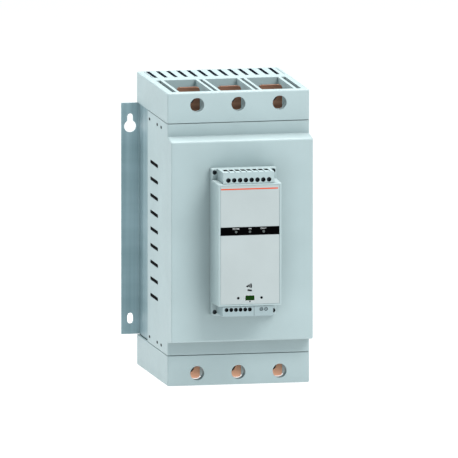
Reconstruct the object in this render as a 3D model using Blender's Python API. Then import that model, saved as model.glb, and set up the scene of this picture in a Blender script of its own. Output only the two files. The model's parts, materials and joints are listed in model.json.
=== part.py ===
"""Three-phase thyristor module with its control unit, for fixing to a panel.

X runs to the right seen from the front, Y from the front to the rear, Z up.
The origin lies under the middle of the module, at the level of its lowest face.
All sizes are in metres.
"""
import math

import bmesh
import bpy
from mathutils import Matrix, Vector

# Enclosure
HOUSING_WIDTH = 0.155
HOUSING_DEPTH = 0.163
BODY_HEIGHT = 0.250
TERMINAL_COVER_HEIGHT = 0.0335
RAISED_DEPTH = 0.020
RAISED_MARGIN = 0.0134
RAISED_DRAFT = 0.0031
WALL = 0.0022
EDGE_RADIUS = 0.0015
SEAM = 0.0008
FIT = 0.0003
OVERCUT = 0.001
WELD = 0.000001

# Cable compartments, barrier slots and access holes of a terminal cover
PHASES = 3
PHASE_MARGIN = 0.010
FRONT_RIM = 0.009
DIVIDER_WALL = 0.0032
PARTITION = 0.003
COVER_FLOOR = 0.002
TONGUE_DEPTH = 0.002
BARRIER_SLOT_WIDTH = 0.0038
END_SLOT_WIDTH = 0.0047
END_SLOT_WALL = 0.0034
BARRIER_SLOT_FLOOR = 0.004
ACCESS_DIAMETER = 0.0153
ACCESS_DROP = 0.0135
RIM_SKIN = 0.0025

# Air outlet of a terminal cover
AIRWAY_DEPTH = 0.066
VENT_COUNT = 13
VENT_MARGIN = 0.0089
VENT_WIDTH = 0.004
VENT_LENGTH = 0.0455
VENT_SETBACK = 0.0036
VENT_WALL = 0.0018
GROOVE_WIDTH = 0.0005
GROOVE_DEPTH = 0.0006
GROOVE_FROM_LEFT = 0.007
GROOVE_FROM_RIGHT = 0.004
LATCH_NOTCH = 0.002

# Side walls of the body cover
SIDE_WALL_CLEARANCE = 0.0016
SIDE_VENT_COUNT = 9
SIDE_VENT_PITCH = 0.018
SIDE_VENT_LENGTH = 0.0413
SIDE_VENT_HEIGHT = 0.004
SIDE_VENT_INSET = 0.0139
SIDE_HOLE_LENGTH = 0.0052
SIDE_HOLE_HEIGHT = 0.003
SIDE_HOLE_INSETS = (0.0104, 0.051, 0.0719)
SIDE_HOLE_DROP = 0.008
SIDE_HOLE_RISE = 0.0065

# Folded steel brackets
SHEET = 0.002
BEND_RADIUS = 0.002
FLANGE_REACH = 0.01715
WEB_OVERLAP = 0.0144
FIXING_OFFSET = 0.0076
KEYHOLE_DIAMETER = 0.0132
KEYHOLE_DROP = 0.0253
KEYHOLE_NECK = 0.00645
KEYHOLE_NECK_DROP = 0.0145
FIXING_SLOT_HEIGHT = 0.012
FIXING_SLOT_RISE = 0.017

# Heat sink extrusion
HEAT_SINK_BASE = 0.012
HEAT_SINK_END_GAP = 0.0005
FIN_COUNT = 17
FIN_ROOT = 0.0028
FIN_TIP = 0.0018

# Thyristor modules
MODULE_WIDTH = 0.034
MODULE_LENGTH = 0.094
MODULE_HEIGHT = 0.030
MODULE_PLATE = 0.003
MODULE_BODY_HEIGHT = 0.023
MODULE_BODY_LENGTH = 0.078
MODULE_POST_SIZE = 0.015
MODULE_POST_OFFSET = 0.026
MODULE_FOOT_SLOT = 0.0064
MODULE_FOOT_INSET = 0.0047

# Copper bars, their nuts and screws
BAR_WIDTH = 0.025
BAR_THICKNESS = 0.004
BAR_SETBACK = 0.047
BAR_JOGGLE = 0.0254
BAR_END_GAP = 0.0011
BAR_CORNER_RADIUS = 0.003
BAR_BEND_RADIUS = 0.006
BAR_FOOT_OVERHANG = 0.010
BAR_RISE_START = 0.013
BAR_SLOT_CLEARANCE = 0.0008
BAR_SLOT_FRONT_CLEARANCE = 0.0026
BAR_SLOT_SIDE_CLEARANCE = 0.0024
LUG_HOLE_DIAMETER = 0.0125
NUT_ACROSS_FLATS = 0.016
NUT_HEIGHT = 0.008
NUT_BORE = 0.0084
NUT_COLLAR_LENGTH = 0.002
BAR_SCREW_DIAMETER = 0.006
BAR_SCREW_LENGTH = 0.013
BAR_SCREW_ACROSS_FLATS = 0.010
BAR_SCREW_HEAD = 0.004

# Cooling fans
FAN_SPACING = 0.005
FAN_REAR_GAP = 0.0015
FAN_HEIGHT = 0.020
FAN_CORNER_RADIUS = 0.003
FAN_RIM = 0.0012
FAN_HOLE_DIAMETER = 0.0034
FAN_HOLE_INSET = 0.004
FAN_HUB_DIAMETER = 0.022
FAN_HUB_LOW = 0.002
FAN_HUB_WALL = 0.0013
FAN_HUB_GAP = 0.0005
FAN_SHAFT_DIAMETER = 0.003
FAN_STATOR_GAP = 0.0015
FAN_MOTOR_PLATE = 0.003
FAN_STRUT_WIDTH = 0.0022
FAN_BLADES = 7
FAN_BLADE_CHORD = 0.012
FAN_BLADE_THICKNESS = 0.001
FAN_TIP_GAP = 0.0014
FAN_ROOT_PITCH = math.radians(48)
FAN_TIP_PITCH = math.radians(30)

# Firing board and thermal switch; component sizes are width, depth and height
BOARD_THICKNESS = 0.0016
FIRING_BOARD_MARGIN = 0.0155
FIRING_BOARD_HEIGHT = 0.150
FIRING_BOARD_SETBACK = 0.014
POST_DIAMETER = 0.008
POST_INSET = 0.008
TRANSFORMER_SIZE = (0.018, 0.014, 0.020)
TRANSFORMER_RISE = 0.040
SNUBBER_SIZE = (0.026, 0.012, 0.020)
SNUBBER_DROP = 0.005
SUPPLY_SIZE = (0.040, 0.020, 0.032)
SUPPLY_DROP = 0.046
CAPACITOR_DIAMETER = 0.012
CAPACITOR_LENGTH = 0.018
CAPACITOR_REACH = 0.038
THERMAL_SWITCH_DIAMETER = 0.016
THERMAL_SWITCH_HEIGHT = 0.009
THERMAL_SWITCH_RISE = 0.060
THERMAL_FLANGE_SIZE = (0.024, 0.001, 0.008)

# Control unit
CONTROL_WIDTH = 0.071
CONTROL_HEIGHT = 0.159
CONTROL_SHIFT = 0.0005
CONTROL_BASE_THICKNESS = 0.009
CONTROL_BOX_DEPTH = 0.032
CONTROL_BOX_TOP_MARGIN = 0.012
CONTROL_BOX_LOW_MARGIN = 0.0138
CONTROL_BOX_DRAFT = 0.0009
CONTROL_WALL = 0.002
CONTROL_EDGE_RADIUS = 0.001
BASE_SCREW_INSET_X = 0.0035
BASE_SCREW_INSET_Z = 0.004
BASE_SCREW_SINK = 0.0048
BASE_SCREW_SINK_DEPTH = 0.0055
BASE_SCREW_HEAD = 0.0042
BASE_SCREW_HEAD_HEIGHT = 0.002
BASE_SCREW_DIAMETER = 0.0028
BASE_SCREW_LENGTH = 0.009
BASE_CORNER_BLOCK = 0.0095
WIRING_WINDOW_WIDTH = 0.040
WIRING_WINDOW_HEIGHT = 0.050
BASE_WINDOW_MARGIN = 0.006
CONTROL_BOARD_MARGIN = 0.005
RELAY_SIZE = (0.018, -0.015, 0.018)
RELAY_REACH = 0.013
RELAY_DROP = 0.021
CHIP_SIZE = (0.020, -0.003, 0.020)
CHIP_DROP = 0.0153

# Front panel of the control unit
PANEL_MARGIN_X = 0.0025
PANEL_MARGIN_Z = 0.0026
PANEL_THICKNESS = 0.0016
BAND_HEIGHT = 0.0085
BAND_THICKNESS = 0.0006
BAND_DROP = 0.0516
LIGHT_DIAMETER = 0.0026
LIGHT_PITCH = 0.015
LIGHT_COUNT = 3
LIGHT_DROP = 0.0007
OPTICAL_WIDTH = 0.0093
OPTICAL_HEIGHT = 0.0048
OPTICAL_THICKNESS = 0.003
OPTICAL_RISE = 0.0092
PIN_HOLE_DIAMETER = 0.003
PIN_HOLE_SPACING = 0.0254

# Terminal blocks of the control unit
UPPER_BLOCK_END = 0.0026
UPPER_BLOCK_SHIFT = -0.0011
UPPER_BLOCK_SETBACK = 0.001
UPPER_WAYS = 8
UPPER_PITCH = 0.00635
UPPER_SCREW_HOLE = 0.0051
UPPER_SCREW_DROP = 0.0085
UPPER_ENTRY_WIDTH = 0.004
UPPER_ENTRY_LENGTH = 0.0075
UPPER_ENTRY_SETBACK = 0.0122
UPPER_RULE_WIDTH = 0.0008
UPPER_RULE_DEPTH = 0.0012
UPPER_RULE_END = 0.0008
LOWER_BLOCK_LEFT = -0.0296
LOWER_BLOCK_END = 0.00196
LOWER_BLOCK_HEIGHT = 0.0108
LOWER_BLOCK_SETBACK = 0.002
LOWER_WAYS = 6
LOWER_PITCH = 0.00508
LOWER_SCREW_HOLE = 0.0044
LOWER_SCREW_DROP = 0.0035
LOWER_ENTRY_DIAMETER = 0.0046
LOWER_ENTRY_SETBACK = 0.0019
PLUG_WIDTH = 0.0206
PLUG_WAYS = 2
PLUG_SCREW_HOLE = 0.0042
SCREW_HOLE_DEPTH = 0.008
SCREW_SINK = 0.0006

# Places worked out from the sizes above
TOTAL_DEPTH = HOUSING_DEPTH + RAISED_DEPTH + CONTROL_BASE_THICKNESS + CONTROL_BOX_DEPTH
REAR = TOTAL_DEPTH / 2
FRONT = REAR - HOUSING_DEPTH
RAISED_FACE = FRONT - RAISED_DEPTH
SIDE = HOUSING_WIDTH / 2
BODY_LOW = TERMINAL_COVER_HEIGHT
BODY_HIGH = BODY_LOW + BODY_HEIGHT
BODY_MIDDLE = (BODY_LOW + BODY_HIGH) / 2
PHASE_PITCH = (HOUSING_WIDTH - 2 * PHASE_MARGIN) / PHASES
PHASE_PLACES = [(number - (PHASES - 1) / 2) * PHASE_PITCH for number in range(PHASES)]
COMPARTMENT_WIDTH = PHASE_PITCH - BARRIER_SLOT_WIDTH - 2 * DIVIDER_WALL
COMPARTMENT_DEPTH = HOUSING_DEPTH - FRONT_RIM - PARTITION - AIRWAY_DEPTH
ACCESS_LEVEL = TERMINAL_COVER_HEIGHT - ACCESS_DROP
VENT_PITCH = (HOUSING_WIDTH - 2 * VENT_MARGIN - VENT_WIDTH) / (VENT_COUNT - 1)
BAR_PLANE = FRONT + BAR_SETBACK + BAR_THICKNESS / 2
BAR_FOOT_PLANE = BAR_PLANE + BAR_JOGGLE
HEAT_SINK_FACE = BAR_FOOT_PLANE + BAR_THICKNESS / 2 + MODULE_HEIGHT + 2 * FIT
SIDE_WALL_REAR = HEAT_SINK_FACE - SIDE_WALL_CLEARANCE
WEB_FRONT = SIDE_WALL_REAR - WEB_OVERLAP
WEB_OUTSIDE = SIDE - WALL - FIT
LUG_LEVEL = BODY_HEIGHT / 2 + ACCESS_LEVEL
FAN_SIZE = PHASE_PITCH - FAN_SPACING
FAN_CENTRE = REAR - WALL - FAN_REAR_GAP - FAN_SIZE / 2
FAN_DUCT_DIAMETER = FAN_SIZE - 2 * FAN_RIM
FAN_BLADE_TIP = FAN_DUCT_DIAMETER / 2 - FAN_TIP_GAP
FAN_HUB_HIGH = FAN_HEIGHT - FAN_MOTOR_PLATE - FAN_HUB_GAP
FAN_STATOR_DIAMETER = FAN_HUB_DIAMETER - 2 * (FAN_HUB_WALL + FAN_STATOR_GAP)
FIRING_BOARD_WIDTH = HOUSING_WIDTH - 2 * FIRING_BOARD_MARGIN
CONTROL_LOW = BODY_LOW + (BODY_HEIGHT - CONTROL_HEIGHT) / 2 + CONTROL_SHIFT
BOX_LOW = CONTROL_BOX_LOW_MARGIN
BOX_HIGH = CONTROL_HEIGHT - CONTROL_BOX_TOP_MARGIN
BOX_REAR = -CONTROL_BASE_THICKNESS - FIT
BOX_FRONT = -CONTROL_BASE_THICKNESS - CONTROL_BOX_DEPTH
PANEL_REAR = BOX_FRONT + PANEL_THICKNESS
BAND_LEVEL = BOX_HIGH - BAND_DROP
LIGHT_LEVEL = BAND_LEVEL - LIGHT_DROP
OPTICAL_LEVEL = BOX_LOW + OPTICAL_RISE
UPPER_BLOCK_WIDTH = UPPER_WAYS * UPPER_PITCH + 2 * UPPER_BLOCK_END
UPPER_BLOCK_FRONT = BOX_FRONT + UPPER_BLOCK_SETBACK
LOWER_BLOCK_WIDTH = LOWER_WAYS * LOWER_PITCH + 2 * LOWER_BLOCK_END
LOWER_BLOCK_FRONT = BOX_FRONT + LOWER_BLOCK_SETBACK
PLUG_MIDDLE = LOWER_BLOCK_LEFT + LOWER_BLOCK_WIDTH + FIT + PLUG_WIDTH / 2
LIGHT_PLACES = [(number - (LIGHT_COUNT - 1) / 2) * LIGHT_PITCH for number in range(LIGHT_COUNT)]

# The outline of an extrusion lies in the plane across its axis: YZ, XZ or XY
ALONG = {
    "X": Matrix(((0, 0, 1), (1, 0, 0), (0, 1, 0))).to_4x4(),
    "Y": Matrix(((1, 0, 0), (0, 0, -1), (0, 1, 0))).to_4x4(),
    "Z": Matrix.Identity(4),
}
AXIS = {"X": Vector((1, 0, 0)), "Y": Vector((0, 1, 0)), "Z": Vector((0, 0, 1))}


def clear_scene():
    """Remove every object that the file opened with."""
    for item in list(bpy.data.objects):
        bpy.data.objects.remove(item, do_unlink=True)


def new_collection(name):
    """Add a collection to the scene."""
    collection = bpy.data.collections.new(name)
    bpy.context.scene.collection.children.link(collection)
    return collection


def new_material(name, colour, roughness, metallic=0.0):
    """Make a plain surface material."""
    material = bpy.data.materials.new(name)
    material.use_nodes = True
    surface = material.node_tree.nodes["Principled BSDF"]
    surface.inputs["Base Color"].default_value = (*colour, 1.0)
    surface.inputs["Roughness"].default_value = roughness
    surface.inputs["Metallic"].default_value = metallic
    material.diffuse_color = (*colour, 1.0)
    return material


def box(corner, opposite):
    """A box between two opposite corners."""
    low = Vector([min(pair) for pair in zip(corner, opposite)])
    high = Vector([max(pair) for pair in zip(corner, opposite)])
    shape = bmesh.new()
    bmesh.ops.create_cube(shape, size=1.0)
    bmesh.ops.scale(shape, vec=high - low, verts=shape.verts)
    bmesh.ops.translate(shape, vec=(low + high) / 2, verts=shape.verts)
    return shape


def cone(centre, along, low_radius, high_radius, length, sides=20):
    """A cone frustum around a centre point, its axis along X, Y or Z."""
    shape = bmesh.new()
    bmesh.ops.create_cone(shape, cap_ends=True, segments=sides, radius1=low_radius,
                          radius2=high_radius, depth=length)
    bmesh.ops.transform(shape, matrix=ALONG[along], verts=shape.verts)
    bmesh.ops.translate(shape, vec=centre, verts=shape.verts)
    return shape


def cylinder(centre, along, diameter, length, sides=20):
    """A round bar around a centre point, its axis along X, Y or Z."""
    return cone(centre, along, diameter / 2, diameter / 2, length, sides)


def hexagon(centre, along, across_flats, length):
    """A six-sided bar around a centre point."""
    corner_diameter = across_flats / math.cos(math.pi / 6)
    return cylinder(centre, along, corner_diameter, length, sides=6)


def prism(outline, along, middle, length):
    """Extrude a closed flat outline along an axis, centred on a place along it."""
    curve = bpy.data.curves.new("outline", "CURVE")
    curve.dimensions = "2D"
    curve.fill_mode = "BOTH"
    curve.extrude = length / 2
    spline = curve.splines.new("POLY")
    spline.points.add(len(outline) - 1)
    for point, place in zip(spline.points, outline):
        point.co = (place[0], place[1], 0.0, 1.0)
    spline.use_cyclic_u = True
    guide = bpy.data.objects.new("outline", curve)
    bpy.context.scene.collection.objects.link(guide)
    graph = bpy.context.evaluated_depsgraph_get()
    mesh = bpy.data.meshes.new_from_object(guide.evaluated_get(graph))
    shape = bmesh.new()
    shape.from_mesh(mesh)
    bpy.data.meshes.remove(mesh)
    bpy.data.objects.remove(guide, do_unlink=True)
    bpy.data.curves.remove(curve)
    bmesh.ops.remove_doubles(shape, verts=shape.verts, dist=WELD)
    bmesh.ops.dissolve_limit(shape, angle_limit=math.radians(1), verts=shape.verts, edges=shape.edges)
    bmesh.ops.recalc_face_normals(shape, faces=shape.faces)
    bmesh.ops.transform(shape, matrix=ALONG[along], verts=shape.verts)
    bmesh.ops.translate(shape, vec=AXIS[along] * middle, verts=shape.verts)
    return shape


def slot_outline(start, end, width, steps=4):
    """The outline of a slot with round ends, given the centres of its ends."""
    heading = math.atan2(end[1] - start[1], end[0] - start[0])
    points = []
    for centre, turned in ((end, -math.pi / 2), (start, math.pi / 2)):
        for step in range(steps + 1):
            angle = heading + turned + math.pi * step / steps
            across = width / 2 * math.cos(angle)
            upward = width / 2 * math.sin(angle)
            points.append((centre[0] + across, centre[1] + upward))
    return points


def rounded_path(points, radius, steps=3):
    """An open path whose inner corners become arcs."""
    path = [Vector(points[0])]
    for before, corner, after in zip(points, points[1:], points[2:]):
        corner = Vector(corner)
        back = (Vector(before) - corner).normalized()
        ahead = (Vector(after) - corner).normalized()
        half_angle = back.angle(ahead) / 2
        start = corner + back * radius / math.tan(half_angle)
        end = corner + ahead * radius / math.tan(half_angle)
        centre = corner + (back + ahead).normalized() * radius / math.sin(half_angle)
        for step in range(steps + 1):
            spoke = start.lerp(end, step / steps) - centre
            path.append(centre + spoke.normalized() * radius)
    path.append(Vector(points[-1]))
    return path


def offset_path(path, distance):
    """The open path moved to its left by a distance, with mitred corners."""
    headings = [(after - before).normalized() for before, after in zip(path, path[1:])]
    normals = [Vector((-heading.y, heading.x)) for heading in headings]
    moved = []
    for index, point in enumerate(path):
        before = normals[max(index - 1, 0)]
        after = normals[min(index, len(normals) - 1)]
        side = (before + after).normalized()
        moved.append(point + side * distance / side.dot(before))
    return moved


def strip_outline(path, thickness):
    """The outline of a bent strip of even thickness around its middle path."""
    left = offset_path(path, thickness / 2)
    right = offset_path(path, -thickness / 2)
    return left + right[::-1]


def round_edges(shape, radius, chosen, steps=2):
    """Round the edges that the test chooses."""
    edges = [edge for edge in shape.edges if chosen(edge)]
    bmesh.ops.bevel(shape, geom=edges, offset=radius, offset_type="OFFSET", segments=steps,
                    profile=0.5, affect="EDGES", clamp_overlap=True)
    return shape


def lies_at(edge, axis, place):
    """Whether both ends of an edge lie at one place along an axis."""
    return all(abs(vert.co[axis] - place) < WELD for vert in edge.verts)


def runs_along(edge, axis):
    """Whether an edge runs along an axis."""
    direction = (edge.verts[1].co - edge.verts[0].co).normalized()
    return abs(direction[axis]) > 0.99


def new_object(name, shape, collection, parent=None):
    """Turn a shape into a smooth-shaded object."""
    mesh = bpy.data.meshes.new(name)
    shape.to_mesh(mesh)
    shape.free()
    item = bpy.data.objects.new(name, mesh)
    collection.objects.link(item)
    item.parent = parent
    return item


def combine(item, operation, shapes):
    """Join shapes to an item, or cut them out of it, with one Boolean modifier."""
    group = bpy.data.collections.new(f"{item.name} {operation.lower()} {len(item.modifiers)}")
    CUTTERS.children.link(group)
    for shape in shapes:
        guide = new_object(f"{item.name} {operation.lower()}", shape, group, parent=item)
        guide.display_type = "WIRE"
        guide.hide_render = True
    modifier = item.modifiers.new(operation.title(), "BOOLEAN")
    modifier.operation = operation
    modifier.operand_type = "COLLECTION"
    modifier.collection = group
    modifier.solver = "EXACT"


def cut(item, shapes):
    """Cut shapes out of an item."""
    combine(item, "DIFFERENCE", shapes)


def join(item, shapes):
    """Join shapes to an item."""
    combine(item, "UNION", shapes)


def part(name, shape, material, parent=None):
    """Start one part of the module from a shape."""
    item = new_object(name, shape, PARTS, parent)
    finish_mesh(item.data, material)
    return item


def finish_mesh(mesh, material):
    """Give a mesh its material and its smooth round faces."""
    mesh.materials.clear()
    mesh.materials.append(material)
    mesh.shade_smooth()
    mesh.set_sharp_from_angle(angle=math.radians(35))


def pattern(item, material):
    """Apply an item's modifiers and return its mesh, which repeated parts share."""
    graph = bpy.context.evaluated_depsgraph_get()
    mesh = bpy.data.meshes.new_from_object(item.evaluated_get(graph))
    mesh.name = item.name
    for guide in list(item.children):
        bpy.data.objects.remove(guide, do_unlink=True)
    bpy.data.objects.remove(item, do_unlink=True)
    finish_mesh(mesh, material)
    return mesh


def place(name, mesh, location, turn=0.0):
    """Place one copy of a shared mesh, turned about the Y axis."""
    item = bpy.data.objects.new(name, mesh)
    PARTS.objects.link(item)
    item.location = location
    item.rotation_euler = (0.0, turn, 0.0)
    return item


def front_line(low, high):
    """The side view of the body's front face, from its low end to its high end."""
    raised_low = BODY_LOW + RAISED_MARGIN
    raised_high = BODY_HIGH - RAISED_MARGIN
    points = [
        (FRONT, low),
        (FRONT, raised_low),
        (RAISED_FACE, raised_low + RAISED_DRAFT),
        (RAISED_FACE, raised_high - RAISED_DRAFT),
        (FRONT, raised_high),
        (FRONT, high),
    ]
    return [Vector(point) for point in points]


def make_body_cover():
    """The middle moulding: side walls, front wall and raised front in one piece."""
    outline = front_line(BODY_LOW, BODY_HIGH) + [(SIDE_WALL_REAR, BODY_HIGH), (SIDE_WALL_REAR, BODY_LOW)]
    shape = prism(outline, "X", 0.0, HOUSING_WIDTH)

    def is_outer_edge(edge):
        on_side = lies_at(edge, 0, SIDE) or lies_at(edge, 0, -SIDE)
        at_rear = any(vert.co.y > FRONT + WELD for vert in edge.verts)
        along_raised = runs_along(edge, 0) and lies_at(edge, 1, RAISED_FACE)
        return (on_side and not at_rear) or along_raised

    round_edges(shape, EDGE_RADIUS, is_outer_edge)
    body = part("body_cover", shape, PLASTIC)
    inner_line = offset_path(front_line(BODY_LOW - OVERCUT, BODY_HIGH + OVERCUT), -WALL)
    inner_line += [(REAR, BODY_HIGH + OVERCUT), (REAR, BODY_LOW - OVERCUT)]
    cut(body, [prism(inner_line, "X", 0.0, HOUSING_WIDTH - 2 * WALL)])
    join(body, [firing_board_post(x, z) for x, z in firing_board_fixings()])
    control_middle = CONTROL_LOW + (BOX_LOW + BOX_HIGH) / 2
    window_half = Vector((WIRING_WINDOW_WIDTH / 2, 0.0, WIRING_WINDOW_HEIGHT / 2))
    window_centre = Vector((0.0, RAISED_FACE, control_middle))
    window = box(window_centre - window_half - Vector((0, OVERCUT, 0)),
                 window_centre + window_half + Vector((0, WALL + OVERCUT, 0)))
    pilots = [
        cylinder((x, RAISED_FACE, CONTROL_LOW + z), "Y", BASE_SCREW_DIAMETER + 2 * FIT, 4 * WALL, 8)
        for x, z in base_screw_places()
    ]
    cut(body, side_vents() + side_holes() + pilots + [window])


def side_vents():
    """Cutters that reach through both side walls: the air slots, one above the other."""
    length = HOUSING_WIDTH + 2 * OVERCUT
    rear_end = SIDE_WALL_REAR - SIDE_VENT_INSET - SIDE_VENT_HEIGHT / 2
    front_end = SIDE_WALL_REAR - SIDE_VENT_INSET - SIDE_VENT_LENGTH + SIDE_VENT_HEIGHT / 2
    cutters = []
    for number in range(SIDE_VENT_COUNT):
        level = BODY_MIDDLE + (number - (SIDE_VENT_COUNT - 1) / 2) * SIDE_VENT_PITCH
        outline = slot_outline((front_end, level), (rear_end, level), SIDE_VENT_HEIGHT)
        cutters.append(prism(outline, "X", 0.0, length))
    return cutters


def side_holes():
    """Cutters that reach through both side walls: the latch slots beside the two seams."""
    length = HOUSING_WIDTH + 2 * OVERCUT
    reach = (SIDE_HOLE_LENGTH - SIDE_HOLE_HEIGHT) / 2
    cutters = []
    for middle in [SIDE_WALL_REAR - inset for inset in SIDE_HOLE_INSETS]:
        for level in (BODY_LOW + SIDE_HOLE_RISE, BODY_HIGH - SIDE_HOLE_DROP):
            outline = slot_outline((middle - reach, level), (middle + reach, level), SIDE_HOLE_HEIGHT)
            cutters.append(prism(outline, "X", 0.0, length))
    return cutters


def firing_board_fixings():
    """The four places where a post of the body cover carries the firing board."""
    reach = FIRING_BOARD_WIDTH / 2 - POST_INSET
    rise = FIRING_BOARD_HEIGHT / 2 - POST_INSET
    return [(x, BODY_MIDDLE + z) for x in (-reach, reach) for z in (-rise, rise)]


def firing_board_post(x, z):
    """A post from the raised front back to the firing board."""
    start = RAISED_FACE + WALL / 2
    end = FRONT + FIRING_BOARD_SETBACK - FIT
    return cylinder((x, (start + end) / 2, z), "Y", POST_DIAMETER, end - start, 10)


def terminal_cover_mesh():
    """A terminal cover with its seam at level zero and its open cable face upward."""
    height = TERMINAL_COVER_HEIGHT
    shape = box((-SIDE, FRONT, SEAM), (SIDE, REAR, height))
    round_edges(shape, EDGE_RADIUS, lambda edge: not lies_at(edge, 2, SEAM))
    cover = part("terminal_cover", shape, PLASTIC)
    tongue_rear = WEB_FRONT - FIT
    inside = SIDE - WALL - FIT
    tongue = box((-inside, FRONT + WALL + FIT, -TONGUE_DEPTH),
                 (inside, tongue_rear, SEAM + COVER_FLOOR / 2))
    join(cover, [tongue])
    airway = box((-SIDE + WALL, REAR - AIRWAY_DEPTH, -TONGUE_DEPTH - OVERCUT),
                 (SIDE - WALL, REAR - WALL, height - VENT_WALL))
    cutters = [airway] + compartments() + barrier_slots() + access_holes() + rim_pockets()
    cut(cover, cutters + bar_slots() + roof_vents() + grille_grooves())
    return pattern(cover, PLASTIC)


def cable_well(centre, width, floor):
    """A cutter open to the cable face, as long as a cable compartment."""
    start = FRONT + FRONT_RIM
    return box((centre - width / 2, start, floor),
               (centre + width / 2, start + COMPARTMENT_DEPTH, TERMINAL_COVER_HEIGHT + OVERCUT))


def compartments():
    """Cutters for the cable compartments."""
    return [cable_well(x, COMPARTMENT_WIDTH, SEAM + COVER_FLOOR) for x in PHASE_PLACES]


def barrier_slots():
    """Cutters for the slots between the compartments and outside the outer ones."""
    middles = [(left + right) / 2 for left, right in zip(PHASE_PLACES, PHASE_PLACES[1:])]
    cutters = [cable_well(x, BARRIER_SLOT_WIDTH, BARRIER_SLOT_FLOOR) for x in middles]
    outer = PHASE_PLACES[-1] + COMPARTMENT_WIDTH / 2 + END_SLOT_WALL + END_SLOT_WIDTH / 2
    cutters += [cable_well(x, END_SLOT_WIDTH, BARRIER_SLOT_FLOOR) for x in (-outer, outer)]
    return cutters


def access_holes():
    """Cutters for the round holes in front of the lug screws."""
    return [
        cylinder((x, FRONT + FRONT_RIM / 2, ACCESS_LEVEL), "Y", ACCESS_DIAMETER,
                 FRONT_RIM + 2 * OVERCUT, 24)
        for x in PHASE_PLACES
    ]


def rim_pockets():
    """Cutters that core the thick front rim from the seam side, between the access holes."""
    collar = ACCESS_DIAMETER / 2 + RIM_SKIN
    edges = [-SIDE + WALL]
    for x in PHASE_PLACES:
        edges += [x - collar, x + collar]
    edges.append(SIDE - WALL)
    return [
        box((left, FRONT + 2 * RIM_SKIN, -TONGUE_DEPTH - OVERCUT),
            (right, FRONT + FRONT_RIM - RIM_SKIN, TERMINAL_COVER_HEIGHT - VENT_WALL))
        for left, right in zip(edges[::2], edges[1::2])
    ]


def bar_slots():
    """Cutters for the slots in the floor that the copper bars pass through."""
    half_width = BAR_WIDTH / 2 + BAR_SLOT_SIDE_CLEARANCE
    front = BAR_PLANE - BAR_THICKNESS / 2 - BAR_SLOT_FRONT_CLEARANCE
    rear = BAR_PLANE + BAR_THICKNESS / 2 + BAR_SLOT_CLEARANCE
    return [
        box((x - half_width, front, -TONGUE_DEPTH - OVERCUT),
            (x + half_width, rear, SEAM + COVER_FLOOR + OVERCUT))
        for x in PHASE_PLACES
    ]


def roof_vents():
    """Cutters for the row of air slots over the heat sink."""
    rear_end = REAR - VENT_SETBACK
    low = TERMINAL_COVER_HEIGHT - VENT_WALL - OVERCUT
    high = TERMINAL_COVER_HEIGHT + OVERCUT
    cutters = []
    for number in range(VENT_COUNT):
        x = (number - (VENT_COUNT - 1) / 2) * VENT_PITCH
        cutters.append(box((x - VENT_WIDTH / 2, rear_end - VENT_LENGTH, low),
                           (x + VENT_WIDTH / 2, rear_end, high)))
    return cutters


def grille_grooves():
    """Cutters for the fine grooves beside the air slots and the latch notch at each one's end."""
    high = TERMINAL_COVER_HEIGHT + OVERCUT
    end = REAR - VENT_SETBACK - VENT_LENGTH
    cutters = []
    for x in (-SIDE + GROOVE_FROM_LEFT, SIDE - GROOVE_FROM_RIGHT):
        cutters.append(box((x - GROOVE_WIDTH / 2, end - LATCH_NOTCH, TERMINAL_COVER_HEIGHT - GROOVE_DEPTH),
                           (x + GROOVE_WIDTH / 2, REAR - 2 * EDGE_RADIUS, high)))
    for x in (-1, 1):
        inner = x * ((VENT_COUNT - 1) / 2 * VENT_PITCH - VENT_WIDTH / 2)
        cutters.append(box((inner, end - 2 * LATCH_NOTCH, TERMINAL_COVER_HEIGHT - VENT_WALL / 2),
                           (inner + x * LATCH_NOTCH, end - LATCH_NOTCH, high)))
    return cutters


def make_terminal_covers():
    """One moulding serves at both ends; below it is turned over."""
    mesh = terminal_cover_mesh()
    place("top_terminal_cover", mesh, (0.0, 0.0, BODY_HIGH))
    place("bottom_terminal_cover", mesh, (0.0, 0.0, BODY_LOW), math.pi)


def make_bracket(name, side):
    """A folded steel bracket: a web beside the heat sink and a flange to screw to the panel."""
    web = side * (WEB_OUTSIDE - SHEET / 2)
    flange = REAR - SHEET / 2
    corners = [(side * (SIDE + FLANGE_REACH), flange), (web, flange), (web, WEB_FRONT)]
    outline = strip_outline(rounded_path(corners, BEND_RADIUS), SHEET)
    bracket = part(name, prism(outline, "Z", BODY_MIDDLE, BODY_HEIGHT), STEEL)
    x = side * (SIDE + FIXING_OFFSET)
    keyhole = BODY_HIGH - KEYHOLE_DROP
    neck = slot_outline((x, keyhole), (x, BODY_HIGH - KEYHOLE_NECK_DROP), KEYHOLE_NECK)
    reach = FIXING_SLOT_HEIGHT / 2 - KEYHOLE_NECK / 2
    low_slot = BODY_LOW + FIXING_SLOT_RISE
    slot = slot_outline((x, low_slot - reach), (x, low_slot + reach), KEYHOLE_NECK)
    cut(bracket, [
        cylinder((x, flange, keyhole), "Y", KEYHOLE_DIAMETER, 2 * SHEET, 24),
        prism(neck, "Y", flange, 2 * SHEET),
        prism(slot, "Y", flange, 2 * SHEET),
    ])


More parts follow.
